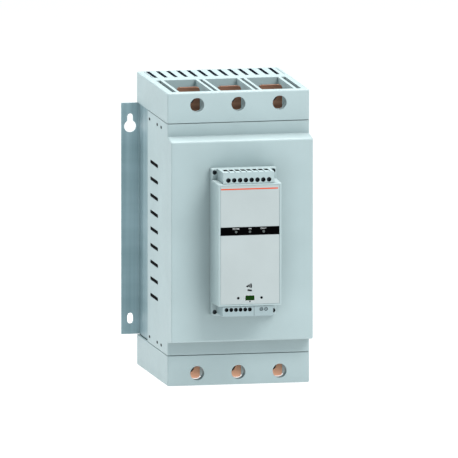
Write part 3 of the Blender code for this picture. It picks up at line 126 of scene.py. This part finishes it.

# Black sheets that paint shade behind the side air slots, with a pad in every slot, and dark pads that paint
# shade in the small latch slots
SHADE_SHEET_THICKNESS = 0.0015
SHADE_SHEET_INSIDE = 0.0751
SHADE_SHEET_REACH = (-0.004, 0.0393)
SHADE_SHEET_LEVELS = (0.080, 0.237)
PAD_FACE = 0.0771
SLOT_LEVELS = [0.1585 + (number - 4) * 0.018 for number in range(9)]
SLOT_REACH = (-0.0008, 0.0405)
SLOT_HEIGHT = 0.004
LATCH_LENGTH = 0.0052
LATCH_HEIGHT = 0.003
LATCH_FACE = 0.07748
LATCH_LIP = 0.0009
SIDE_FACE = 0.0775
LATCH_PLACES = [(0.0544 - inset, level) for inset in (0.0104, 0.051, 0.0719) for level in (0.040, 0.2755)]
PAD_GAP = 0.00004
PAD_END_STEPS = 4

# How far the painted shade of neighbouring surfaces reaches
RECESS_REACH = 0.03
RECESS_SAMPLES = 8

# How every finish is made: where its noise begins and ends, its gloss noise, its eased edges and its grain
NOISE_REACH = (0.3, 0.7)
GLOSS_SHARE = 9
EDGE_SAMPLES = 6
GRAIN_DETAIL = 2.0
GRAIN_STRENGTH = 0.6

# Colours that follow a noise, as stops of place and colour
COPPER_NOISE = (45.0, 4.0, 0.5)
COPPER_STOPS = [(0.28, (0.94, 0.48, 0.31)), (0.5, (0.98, 0.53, 0.35)), (0.75, (1.0, 0.58, 0.39))]
# The line bars' copper: a darker, browner copy of the copper, a painted shade
SHADED_COPPER_STRETCH = (3.0, 3.0, 200.0)
SHADED_COPPER_NOISE = (1.0, 1.0, 0.4)
SHADED_COPPER_STOPS = [(0.3, (0.25, 0.115, 0.075)), (0.6, (0.38, 0.185, 0.12)), (0.8, (0.46, 0.24, 0.16))]
# Lighter cloudy bands across the sheet steel: a painted reflection
REFLECTION_BAND_STRETCH = (2.0, 2.0, 22.0)
REFLECTION_BAND_NOISE = (1.0, 4.0, 0.55)
LINE_STRETCH = (160.0, 160.0, 3.0)
LINE_NOISE = (1.0, 3.0, 0.5)
STEEL_STOPS = [(0.36, (0.255, 0.375, 0.41)), (0.5, (0.335, 0.465, 0.505)), (0.64, (0.42, 0.555, 0.60))]
BOARD_SCALE = 260.0
BOARD_STOPS = [(0.02, (0.08, 0.28, 0.10)), (0.06, (0.02, 0.12, 0.05))]

# Dark linings that paint shade in the top cover's air slots and fine grooves
VENT_TOP = 0.317
VENT_WALL = 0.0018
VENT_WIDTH = 0.004
VENT_REACH = (0.0629, 0.1084)
VENT_PITCH = 0.0111
VENT_PLACES = [(number - 6) * VENT_PITCH for number in range(13)]
GROOVE_PLACES = (-0.0705, 0.0735)
GROOVE_REACH = (0.0609, 0.1090)
GROOVE_WIDTH = 0.0005
GROOVE_DEPTH = 0.0006

# The brackets' webs are darker than their flanges, a painted shade: where the shades begin, aside from the
# middle
WEB_FACE = 0.0752
FLANGE_START = 0.0770
WEB_SHADE_SHARE = 0.81

# Seal around the front panel
SEAL_WIDTH = 0.0003
SEAL_GAP = 0.00002
SEAL_SINK = 0.00008
SEAL_DEPTH = 0.0012


def add(tree, kind, inputs=None, **settings):
    """Add a shader node; an input takes a number, a colour or another node's output."""
    node = tree.nodes.new(kind)
    for name, value in settings.items():
        setattr(node, name, value)
    for name, value in (inputs or {}).items():
        if isinstance(value, bpy.types.NodeSocket):
            tree.links.new(value, node.inputs[name])
        else:
            node.inputs[name].default_value = value
    return node


def ramp(tree, factor, stops):
    """A colour that follows a factor through stops of place and colour."""
    node = add(tree, "ShaderNodeValToRGB", {"Fac": factor})
    elements = node.color_ramp.elements
    while len(elements) < len(stops):
        elements.new(0.5)
    for element, (place, colour) in zip(elements, stops):
        element.position = place
        element.color = (*colour, 1.0)
    return node.outputs["Color"]


def noise(tree, vector, scale, detail=3.0, roughness=0.5):
    """A soft noise between 0 and 1."""
    node = add(tree, "ShaderNodeTexNoise",
               {"Vector": vector, "Scale": scale, "Detail": detail, "Roughness": roughness})
    return node.outputs["Fac"]


def stretched(tree, place, scale):
    """Places stretched along the axes."""
    return add(tree, "ShaderNodeMapping", {"Vector": place, "Scale": scale}).outputs["Vector"]


def spread_over(tree, value, start, end, low, high):
    """A value between two others, spread over a range."""
    node = add(tree, "ShaderNodeMapRange",
               {"Value": value, "From Min": start, "From Max": end, "To Min": low, "To Max": high})
    return node.outputs["Result"]


def scaled(colour, share):
    """A lighter or darker colour."""
    return tuple(min(channel * share, 1.0) for channel in colour)


def painted_recess_shade(tree, base, share, local):
    """Painted shade: darken a colour where other surfaces, or only the piece's own, stand close."""
    closed = add(tree, "ShaderNodeAmbientOcclusion", {"Color": base, "Distance": RECESS_REACH},
                 samples=RECESS_SAMPLES, only_local=local).outputs["Color"]
    node = add(tree, "ShaderNodeMix", {"Factor": share}, data_type="RGBA")
    colours = [socket for socket in node.inputs if socket.type == "RGBA"]
    for source, socket in zip((base, closed), colours):
        tree.links.new(source, socket)
    return next(socket for socket in node.outputs if socket.type == "RGBA")


def finish(name, colour, roughness, metallic=0.0, spread=0.03, cloud=25.0, stretch=(1, 1, 1),
           grain=1800.0, depth=0.00002, edge=0.0005, uneven=0.05, recess=0.0, local=False, **sockets):
    """A surface with uneven gloss, a fine grain and eased edges, and where asked, painted shade in its
    recesses.

    A plain colour gets soft clouds; a function makes its own colour from the node tree and the places.
    """
    material = bpy.data.materials.new(name)
    material.use_nodes = True
    tree = material.node_tree
    shader = tree.nodes["Principled BSDF"]
    place = add(tree, "ShaderNodeTexCoord").outputs["Object"]
    along = stretched(tree, place, stretch)
    start, end = NOISE_REACH
    if callable(colour):
        base = colour(tree, place)
    else:
        base = ramp(tree, noise(tree, along, cloud), [(start, scaled(colour, 1 - spread)),
                                                      (end, scaled(colour, 1 + spread))])
    if recess:
        base = painted_recess_shade(tree, base, recess, local)
    tree.links.new(base, shader.inputs["Base Color"])
    gloss = spread_over(tree, noise(tree, along, cloud * GLOSS_SHARE), start, end, roughness - uneven,
                        roughness + uneven)
    tree.links.new(gloss, shader.inputs["Roughness"])
    eased = add(tree, "ShaderNodeBevel", {"Radius": edge}, samples=EDGE_SAMPLES).outputs["Normal"]
    height = noise(tree, along, grain, GRAIN_DETAIL)
    bump = add(tree, "ShaderNodeBump", {"Height": height, "Normal": eased, "Distance": depth,
                                        "Strength": GRAIN_STRENGTH})
    tree.links.new(bump.outputs["Normal"], shader.inputs["Normal"])
    shader.inputs["Metallic"].default_value = metallic
    for socket, value in sockets.items():
        shader.inputs[socket.replace("_", " ")].default_value = value
    return material


def bare_copper(tree, place):
    """Bare copper with soft clouds."""
    return ramp(tree, noise(tree, place, *COPPER_NOISE), COPPER_STOPS)


def shaded_copper(tree, place):
    """Copper in a painted shade, darker and browner, with fine lines across the bar."""
    lines = noise(tree, stretched(tree, place, SHADED_COPPER_STRETCH), *SHADED_COPPER_NOISE)
    return ramp(tree, lines, SHADED_COPPER_STOPS)


def rolled_steel(tree, place):
    """Plated sheet steel: lighter cloudy bands across as a painted reflection, fine lines along the sheet,
    and a painted shade on the web.
    """
    bands = noise(tree, stretched(tree, place, REFLECTION_BAND_STRETCH), *REFLECTION_BAND_NOISE)
    lines = noise(tree, stretched(tree, place, LINE_STRETCH), *LINE_NOISE)
    both = add(tree, "ShaderNodeMath", {0: bands, 1: lines}, operation="ADD").outputs["Value"]
    halved = add(tree, "ShaderNodeMath", {0: both, 1: 0.5}, operation="MULTIPLY").outputs["Value"]
    plated = ramp(tree, halved, STEEL_STOPS)
    # Painted shade: the web darker than the flange
    across = add(tree, "ShaderNodeSeparateXYZ", {"Vector": place}).outputs["X"]
    aside = add(tree, "ShaderNodeMath", {0: across}, operation="ABSOLUTE").outputs["Value"]
    share = spread_over(tree, aside, WEB_FACE, FLANGE_START, WEB_SHADE_SHARE, 1.0)
    shaded = add(tree, "ShaderNodeVectorMath", {0: plated, "Scale": share}, operation="SCALE")
    return shaded.outputs["Vector"]


def printed_board(tree, place):
    """A green board with paler tracks."""
    tracks = add(tree, "ShaderNodeTexVoronoi", {"Vector": place, "Scale": BOARD_SCALE},
                 feature="DISTANCE_TO_EDGE").outputs["Distance"]
    return ramp(tree, tracks, BOARD_STOPS)


ENCLOSURE_GREY = (0.405, 0.500, 0.515)
# Finishes with a recess share darken where surfaces stand close: painted shade
FINISHES = {
    "enclosure_plastic": finish("enclosure_plastic", ENCLOSURE_GREY, 0.50, recess=0.4),
    "control_plastic": finish("control_plastic", (0.400, 0.495, 0.508), 0.47, recess=0.3),
    "panel_plastic": finish("panel_plastic", (0.448, 0.500, 0.505), 0.44, grain=2600.0, depth=0.00001),
    "strip_black": finish("strip_black", (0.001, 0.001, 0.0012), 0.4, grain=900.0, depth=0.000005,
                          Specular_IOR_Level=0.01),
    "light_clear": finish("light_clear", (0.10, 0.115, 0.11), 0.3, depth=0.000004, Specular_IOR_Level=0.3),
    "window_green": finish("window_green", (0.004, 0.036, 0.0015), 0.25, depth=0.000004, spread=0.25,
                           Specular_IOR_Level=0.06),
    "sheet_steel": finish("sheet_steel", rolled_steel, 0.45, 0.3, uneven=0.08, stretch=(160, 160, 3),
                          grain=6.0),
    "aluminium": finish("aluminium", (0.075, 0.085, 0.115), 0.42, 0.6, spread=0.08, cloud=1.2,
                        stretch=(220, 220, 3), grain=4.0, uneven=0.08),
    "copper": finish("copper", bare_copper, 0.36, 0.9, cloud=60.0, grain=700.0, depth=0.000003,
                     uneven=0.04),
    "zinc_steel": finish("zinc_steel", (0.22, 0.28, 0.30), 0.34, 0.5, spread=0.1, cloud=90.0, uneven=0.1),
    "blackened_steel": finish("blackened_steel", (0.040, 0.058, 0.072), 0.36, 0.3, spread=0.2, cloud=90.0,
                              uneven=0.1, Specular_IOR_Level=0.4),
    "potted_plastic": finish("potted_plastic", (0.045, 0.045, 0.05), 0.5, spread=0.15),
    "fan_plastic": finish("fan_plastic", (0.022, 0.022, 0.024), 0.46, spread=0.2),
    "circuit_board": finish("circuit_board", printed_board, 0.35),
}
# A darker copy of the control plastic for the lower block and plug: painted shade under the hood
SHADED_PLUG_PLASTIC = finish("plug_plastic_painted_shade", (0.345, 0.435, 0.455), 0.45, recess=0.3)
# The line bars get the darker copper: painted shade
SHADED_LINE_COPPER = finish("line_copper_painted_shade", shaded_copper, 0.34, 0.8, cloud=60.0, grain=700.0, depth=0.000003,
                     uneven=0.04)
# The bottom cover stands on the floor, so only its own recesses give it painted shade
BASE_PLASTIC = finish("base_plastic", ENCLOSURE_GREY, 0.50, recess=0.4, local=True)
OWN_FINISHES = {
    "bottom_terminal_cover": BASE_PLASTIC,
    "lower_terminal_block": SHADED_PLUG_PLASTIC,
    "lower_plug": SHADED_PLUG_PLASTIC,
    "line_bar_1": SHADED_LINE_COPPER,
    "line_bar_2": SHADED_LINE_COPPER,
    "line_bar_3": SHADED_LINE_COPPER,
}
# A near black for the linings that paint shade in holes, wire entries and latch slots
SHADE_BLACK = finish("painted_shade_black", (0.006, 0.006, 0.008), 0.8, spread=0.2, Specular_IOR_Level=0.05)
# Black for the sheets and pads that paint shade in the side air slots
SLOT_SHADE_BLACK = finish("slot_painted_shade", (0.008, 0.008, 0.009), 0.95, spread=0.3, cloud=400.0, depth=0.0002,
                      Specular_IOR_Level=0.02)
# Dark navy for the linings that paint shade in the top air slots
VENT_SHADE_NAVY = finish("vent_painted_shade", (0.012, 0.018, 0.045), 0.7, spread=0.3, Specular_IOR_Level=0.1)
INK_WHITE = finish("ink_white", WHITE, 0.5)
INK_BLACK = finish("ink_black", INK, 0.5, Specular_IOR_Level=0.2)
INK_ORANGE = finish("ink_orange_red", ORANGE_RED, 0.5, Specular_IOR_Level=0.2)


def dress_frame():
    """Give every node of the frame the finish of its slot, or its own copy of that finish, some darker as
    painted shade.
    """
    for part in frame["record"]["subparts"]:
        node = part["node"]
        item = frame["nodes"][node]
        item.data.materials.clear()
        item.data.materials.append(OWN_FINISHES.get(node, FINISHES[part["material_slot"]]))


def mesh_piece(name, shape, material):
    """Turn a bmesh into a piece that rides on the module's body, with a given finish."""
    mesh = bpy.data.meshes.new(name)
    shape.to_mesh(mesh)
    shape.free()
    mesh.materials.append(material)
    item = bpy.data.objects.new(name, mesh)
    bpy.context.scene.collection.objects.link(item)
    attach(item, BODY)


def add_box(shape, low, high):
    """Add a box between two corners to a bmesh."""
    low = Vector(low)
    high = Vector(high)
    verts = bmesh.ops.create_cube(shape, size=1.0)["verts"]
    bmesh.ops.scale(shape, vec=high - low, verts=verts)
    bmesh.ops.translate(shape, vec=(low + high) / 2, verts=verts)


def add_ring(shape, x, z, front, rear, outer, inner, steps=RING_STEPS):
    """Add a tube along Y to a bmesh, closed into a plain disc where its inner radius is nothing."""
    loops = []
    for radius, y in ((outer, front), (outer, rear), (inner, rear), (inner, front)):
        if radius > 0:
            loops.append([shape.verts.new((x + radius * math.cos(2 * math.pi * step / steps), y,
                                           z + radius * math.sin(2 * math.pi * step / steps)))
                          for step in range(steps)])
    pairs = list(zip(loops, loops[1:] + loops[:1])) if inner > 0 else [(loops[0], loops[1])]
    for loop, following in pairs:
        for step in range(steps):
            after = (step + 1) % steps
            shape.faces.new((loop[step], loop[after], following[after], following[step]))
    if inner == 0:
        shape.faces.new(loops[0][::-1])
        shape.faces.new(loops[1])


def add_slotted_head(shape, x, z, front, rear, radius):
    """Add a round screw head with a straight slot in its face, as two half discs over a full one."""
    floor = front + SCREW_SLOT
    add_ring(shape, x, z, floor, rear, radius, 0)
    steps = HALF_HEAD_STEPS
    start = math.asin(SCREW_SLOT / 2 / radius)
    for side in (0.0, math.pi):
        angles = [side + start + (math.pi - 2 * start) * step / steps for step in range(steps + 1)]
        outline = [(x + radius * math.cos(angle), z + radius * math.sin(angle)) for angle in angles]
        face = [shape.verts.new((px, front, pz)) for px, pz in outline]
        foot = [shape.verts.new((px, floor, pz)) for px, pz in outline]
        shape.faces.new(face)
        shape.faces.new(foot[::-1])
        for here in range(len(outline)):
            after = (here + 1) % len(outline)
            shape.faces.new((face[after], face[here], foot[here], foot[after]))


def make_hole_linings_and_screws():
    """Dark linings that paint shade in the screw holes and fill the pin holes, and the screws at their ends.
    """
    hole_shades = bmesh.new()
    screws = bmesh.new()
    for front, level, diameter, places in (UPPER_HOLES, LOWER_HOLES):
        outer = diameter / 2 - SHADE_LINING_GAP
        for x in places:
            add_ring(hole_shades, x, level, front + SHADE_LINING_GAP, front + HOLE_DEPTH - SHADE_LINING_GAP, outer,
                     outer - SHADE_LINING_WALL)
            add_slotted_head(screws, x, level, front + SCREW_SINK, front + HOLE_DEPTH - 2 * SHADE_LINING_GAP,
                             outer - 2 * SHADE_LINING_WALL)
    for front, level, diameter, places in BASE_HOLES:
        outer = diameter / 2 - SHADE_LINING_GAP
        for x in places:
            add_ring(hole_shades, x, level, front + SHADE_LINING_GAP, front + BASE_HOLE_DEPTH - SHADE_LINING_GAP, outer,
                     outer - SHADE_LINING_WALL)
    for x in PIN_PLACES:
        front = PANEL_FACE + PIN_SINK
        add_ring(hole_shades, x, WINDOW_LEVEL, front, front + PIN_THICKNESS, PIN_DIAMETER / 2 - SHADE_LINING_GAP, 0)
    for shape in (hole_shades, screws):
        bmesh.ops.recalc_face_normals(shape, faces=shape.faces)
    mesh_piece("hole_shade_linings", hole_shades, SHADE_BLACK)
    mesh_piece("terminal_screws", screws, FINISHES["blackened_steel"])


def make_entry_shade_linings():
    """Dark linings that paint shade in the upper block's wire entries, a dark lip around each, and in the
    grooves before them.
    """
    shape = bmesh.new()
    front, rear = ENTRY_REACH
    high = ENTRY_LEVEL - SHADE_LINING_GAP
    low = ENTRY_LEVEL - ENTRY_DEPTH
    _, _, _, places = UPPER_HOLES
    for x in places:
        left = x - ENTRY_WIDTH / 2 + SHADE_LINING_GAP
        right = x + ENTRY_WIDTH / 2 - SHADE_LINING_GAP
        near = front + SHADE_LINING_GAP
        far = rear - SHADE_LINING_GAP
        inner_left = left + SHADE_LINING_WALL
        inner_right = right - SHADE_LINING_WALL
        add_box(shape, (left, near, low), (inner_left, far, high))
        add_box(shape, (inner_right, near, low), (right, far, high))
        add_box(shape, (inner_left, near, low), (inner_right, near + SHADE_LINING_WALL, high))
        add_box(shape, (inner_left, far - SHADE_LINING_WALL, low), (inner_right, far, high))
        add_box(shape, (inner_left, near + SHADE_LINING_WALL, low),
                (inner_right, far - SHADE_LINING_WALL, low + SHADE_LINING_WALL))
        foot = ENTRY_LEVEL + SHADE_LINING_GAP
        crown = foot + LIP_HEIGHT
        outer_left = x - ENTRY_WIDTH / 2 - ENTRY_LIP_SIDE
        outer_right = x + ENTRY_WIDTH / 2 + ENTRY_LIP_SIDE
        add_box(shape, (outer_left, front - ENTRY_LIP_END, foot), (outer_right, near, crown))
        add_box(shape, (outer_left, far, foot), (outer_right, rear + ENTRY_LIP_END, crown))
        add_box(shape, (outer_left, near, foot), (left, far, crown))
        add_box(shape, (right, near, foot), (outer_right, far, crown))
        edge = x + ENTRY_WIDTH / 2
        add_box(shape, (edge - RULE_GROOVE_WIDTH + SHADE_LINING_GAP, RULE_GROOVE_FRONT,
                        ENTRY_LEVEL - RULE_GROOVE_DEPTH + SHADE_LINING_GAP),
                (edge - SHADE_LINING_GAP, front - SHADE_LINING_GAP, high))
    mesh_piece("entry_shade_linings", shape, SHADE_BLACK)


def make_vent_shade_linings():
    """Dark linings that paint shade in the air slots and the two fine grooves of the top cover."""
    shape = bmesh.new()
    high = VENT_TOP - SHADE_LINING_GAP
    low = VENT_TOP - VENT_WALL
    near, far = VENT_REACH
    for x in VENT_PLACES:
        for side in (-1, 1):
            inner, outer = sorted((x + side * (VENT_WIDTH / 2 - SHADE_LINING_GAP),
                                   x + side * (VENT_WIDTH / 2 - SHADE_LINING_GAP - SHADE_LINING_WALL)))
            add_box(shape, (inner, near + SHADE_LINING_GAP, low), (outer, far - SHADE_LINING_GAP, high))
        half = VENT_WIDTH / 2 - SHADE_LINING_GAP - SHADE_LINING_WALL
        for end in (near + SHADE_LINING_GAP, far - SHADE_LINING_GAP - SHADE_LINING_WALL):
            add_box(shape, (x - half, end, low), (x + half, end + SHADE_LINING_WALL, high))
    near, far = GROOVE_REACH
    for x in GROOVE_PLACES:
        half = GROOVE_WIDTH / 2 - SHADE_LINING_GAP
        add_box(shape, (x - half, near + SHADE_LINING_GAP, VENT_TOP - GROOVE_DEPTH + SHADE_LINING_GAP),
                (x + half, far - SHADE_LINING_GAP, high))
    mesh_piece("vent_shade_linings", shape, VENT_SHADE_NAVY)


def make_panel_seal():
    """The thin seal in the gap around the front panel, a little behind its face."""
    shape = bmesh.new()
    (left, _, low), (right, _, high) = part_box("front_panel")
    front = PANEL_FACE + SEAL_SINK
    rear = front + SEAL_DEPTH
    near = SEAL_GAP
    far = SEAL_WIDTH - SEAL_GAP
    for side, edge in ((-1, left), (1, right)):
        inner, outer = sorted((edge + side * near, edge + side * far))
        add_box(shape, (inner, front, low - far), (outer, rear, high + far))
    for side, edge in ((-1, low), (1, high)):
        inner, outer = sorted((edge + side * near, edge + side * far))
        add_box(shape, (left - near, front, inner), (right + near, rear, outer))
    mesh_piece("panel_seal", shape, FINISHES["control_plastic"])


def add_pad(shape, side, near, far, level, height, outside, inside=SHADE_SHEET_INSIDE + PAD_GAP):
    """Add a pad with round ends that fills a slot of a side wall, or a lip that lies on it."""
    radius = height / 2 - PAD_GAP
    outline = []
    for middle, start in ((far - height / 2, -math.pi / 2), (near + height / 2, math.pi / 2)):
        for step in range(PAD_END_STEPS + 1):
            angle = start + math.pi * step / PAD_END_STEPS
            outline.append((middle + radius * math.cos(angle), level + radius * math.sin(angle)))
    face = [shape.verts.new((side * outside, y, z)) for y, z in outline]
    foot = [shape.verts.new((side * inside, y, z)) for y, z in outline]
    shape.faces.new(face)
    shape.faces.new(foot[::-1])
    for here in range(len(outline)):
        after = (here + 1) % len(outline)
        shape.faces.new((face[after], face[here], foot[here], foot[after]))


def make_side_fittings():
    """Black sheets behind the side air slots and dark pads in the latch slots with a lip on the wall, all
    painted shade.
    """
    dark_sheets = bmesh.new()
    latch_pads = bmesh.new()
    for side in (-1, 1):
        inner, outer = sorted((side * (SHADE_SHEET_INSIDE - SHADE_SHEET_THICKNESS), side * SHADE_SHEET_INSIDE))
        add_box(dark_sheets, (inner, SHADE_SHEET_REACH[0], SHADE_SHEET_LEVELS[0]), (outer, SHADE_SHEET_REACH[1], SHADE_SHEET_LEVELS[1]))
        for level in SLOT_LEVELS:
            add_pad(dark_sheets, side, SLOT_REACH[0] + PAD_GAP, SLOT_REACH[1] - PAD_GAP, level, SLOT_HEIGHT,
                    PAD_FACE)
        for y, level in LATCH_PLACES:
            reach = LATCH_LENGTH / 2 - PAD_GAP
            add_pad(latch_pads, side, y - reach, y + reach, level, LATCH_HEIGHT, LATCH_FACE)
            foot = SIDE_FACE + SHADE_LINING_GAP
            add_pad(latch_pads, side, y - reach - LATCH_LIP, y + reach + LATCH_LIP, level, LATCH_HEIGHT,
                    foot + LIP_HEIGHT, foot)
    for shape in (dark_sheets, latch_pads):
        bmesh.ops.recalc_face_normals(shape, faces=shape.faces)
    mesh_piece("side_slot_shade_sheets", dark_sheets, SLOT_SHADE_BLACK)
    mesh_piece("latch_slot_shades", latch_pads, SHADE_BLACK)


def print_piece(name, shape, material):
    """Give flat printed faces their thickness and put them on the front panel."""
    faces = bmesh.ops.extrude_face_region(shape, geom=list(shape.faces))["geom"]
    moved = [item for item in faces if isinstance(item, bmesh.types.BMVert)]
    bmesh.ops.translate(shape, vec=(0, -PRINT_THICKNESS, 0), verts=moved)
    bmesh.ops.recalc_face_normals(shape, faces=shape.faces)
    mesh_piece(name, shape, material)


def add_outline(shape, points):
    """Add one flat printed face on the panel from places across and up."""
    shape.faces.new([shape.verts.new((x, PANEL_FACE, z)) for x, z in points])


def add_bar(shape, start, end, width):
    """Add a straight printed line of even width."""
    start = Vector(start)
    end = Vector(end)
    side = (end - start).normalized().orthogonal() * width / 2
    add_outline(shape, [start + side, start - side, end - side, end + side])


def add_arc(shape, centre, radius, width, first, last, steps=8):
    """Add a printed arc of even width, between two angles in degrees."""
    angles = [math.radians(first + (last - first) * step / steps) for step in range(steps + 1)]
    outer = [(centre[0] + (radius + width / 2) * math.cos(angle),
              centre[1] + (radius + width / 2) * math.sin(angle)) for angle in angles]
    inner = [(centre[0] + (radius - width / 2) * math.cos(angle),
              centre[1] + (radius - width / 2) * math.sin(angle)) for angle in angles]
    for step in range(steps):
        add_outline(shape, [outer[step], inner[step], inner[step + 1], outer[step + 1]])


def make_labels():
    """The small white words above the three lights."""
    for word, x in LABELS:
        text = bpy.data.curves.new(word, "FONT")
        text.body = word
        text.size = LABEL_SIZE
        text.align_x = "CENTER"
        text.extrude = PRINT_THICKNESS / 2
        text.resolution_u = LABEL_SMOOTHNESS
        text.offset = LABEL_SIZE * LABEL_BOLDNESS
        guide = bpy.data.objects.new(word, text)
        bpy.context.scene.collection.objects.link(guide)
        graph = bpy.context.evaluated_depsgraph_get()
        mesh = bpy.data.meshes.new_from_object(guide.evaluated_get(graph))
        bpy.data.objects.remove(guide, do_unlink=True)
        shape = bmesh.new()
        shape.from_mesh(mesh)
        bpy.data.meshes.remove(mesh)
        bmesh.ops.transform(shape, matrix=Matrix.Rotation(math.pi / 2, 4, "X"), verts=shape.verts)
        middle = PANEL_FACE - PRINT_THICKNESS / 2
        bmesh.ops.translate(shape, vec=(x, middle, LABEL_LEVEL), verts=shape.verts)
        mesh_piece(f"label_{word.lower()}", shape, INK_WHITE)


def make_prints():
    """The plain rule, the pictogram over the optical window, its border and the small triangle."""
    rule = bmesh.new()
    (left, right), level, width = RULE
    add_bar(rule, (left, level), (right, level), width)
    print_piece("rule", rule, INK_ORANGE)
    mark = bmesh.new()
    centre = Vector(MARK_CENTRE)
    source = centre + Vector(ARC_SOURCE)
    for radius in ARC_RADII:
        add_arc(mark, source, radius, ARC_WIDTH, *ARC_ANGLES)
    tick = source + Vector(TICK_START)
    for end in TICK_ENDS:
        add_bar(mark, tick, source + Vector(end), TICK_WIDTH)
    for start, end in zip(WAVE, WAVE[1:]):
        add_bar(mark, centre + Vector(start), centre + Vector(end), WAVE_WIDTH)
    x, z = TRIANGLE_CENTRE
    reach = TRIANGLE_SIZE / 2
    add_outline(mark, [(x - reach, z + reach), (x, z - reach), (x + reach, z + reach)])
    print_piece("pictogram", mark, INK_BLACK)
    border = bmesh.new()
    half_width, half_height = WINDOW_HALF
    for side in (-1, 1):
        across = side * (half_width + BORDER_WIDTH / 2 + BORDER_GAP)
        upward = side * (half_height + BORDER_WIDTH / 2 + BORDER_GAP)
        reach = half_height + BORDER_WIDTH + BORDER_GAP
        add_bar(border, (across, WINDOW_LEVEL - reach), (across, WINDOW_LEVEL + reach), BORDER_WIDTH)
        reach = half_width + BORDER_GAP
        add_bar(border, (-reach, WINDOW_LEVEL + upward), (reach, WINDOW_LEVEL + upward), BORDER_WIDTH)
    print_piece("window_border", border, INK_WHITE)


def make_floor():
    """A plain pale floor that glows, as a lit photo table does."""
    shape = bmesh.new()
    bmesh.ops.create_grid(shape, x_segments=1, y_segments=1, size=FLOOR_REACH)
    mesh = bpy.data.meshes.new("floor")
    shape.to_mesh(mesh)
    shape.free()
    item = bpy.data.objects.new("floor", mesh)
    bpy.context.scene.collection.objects.link(item)
    material = bpy.data.materials.new("floor")
    material.use_nodes = True
    shader = material.node_tree.nodes["Principled BSDF"]
    shader.inputs["Base Color"].default_value = (*FLOOR_COLOUR, 1.0)
    shader.inputs["Roughness"].default_value = FLOOR_ROUGHNESS
    shader.inputs["Emission Color"].default_value = (*FLOOR_EMISSION, 1.0)
    shader.inputs["Emission Strength"].default_value = FLOOR_GLOW
    mesh.materials.append(material)


def make_light(name, place, size, power, colour):
    """A soft square light that faces the middle of the module."""
    data = bpy.data.lights.new(name, "AREA")
    data.shape = "SQUARE"
    data.size = size
    data.energy = power
    data.color = colour
    item = bpy.data.objects.new(name, data)
    item.location = place
    item.rotation_mode = "QUATERNION"
    item.rotation_quaternion = (Vector(place) - AIM).to_track_quat("Z", "Y")
    bpy.context.scene.collection.objects.link(item)


def make_studio():
    """The floor, the lights and an even surrounding light."""
    make_floor()
    world = bpy.data.worlds.new("studio")
    world.use_nodes = True
    background = world.node_tree.nodes["Background"]
    background.inputs["Color"].default_value = (*SKY_COLOUR, 1.0)
    background.inputs["Strength"].default_value = SKY_STRENGTH
    bpy.context.scene.world = world
    for name, settings in LIGHTS.items():
        make_light(name, *settings)
    bpy.context.scene.view_settings.view_transform = "Standard"


def make_camera():
    """The camera at the photograph's angle."""
    back = Vector((math.sin(AZIMUTH) * math.cos(ELEVATION), -math.cos(AZIMUTH) * math.cos(ELEVATION),
                   math.sin(ELEVATION)))
    data = bpy.data.cameras.new("camera")
    data.type = "ORTHO"
    data.ortho_scale = FRAME_SIZE
    item = bpy.data.objects.new("camera", data)
    item.location = AIM + back * CAMERA_DISTANCE
    item.rotation_mode = "QUATERNION"
    item.rotation_quaternion = back.to_track_quat("Z", "Y")
    bpy.context.scene.collection.objects.link(item)
    bpy.context.scene.camera = item


dress_frame()
make_hole_linings_and_screws()
make_entry_shade_linings()
make_side_fittings()
make_vent_shade_linings()
make_panel_seal()
make_labels()
make_prints()
make_studio()
make_camera()
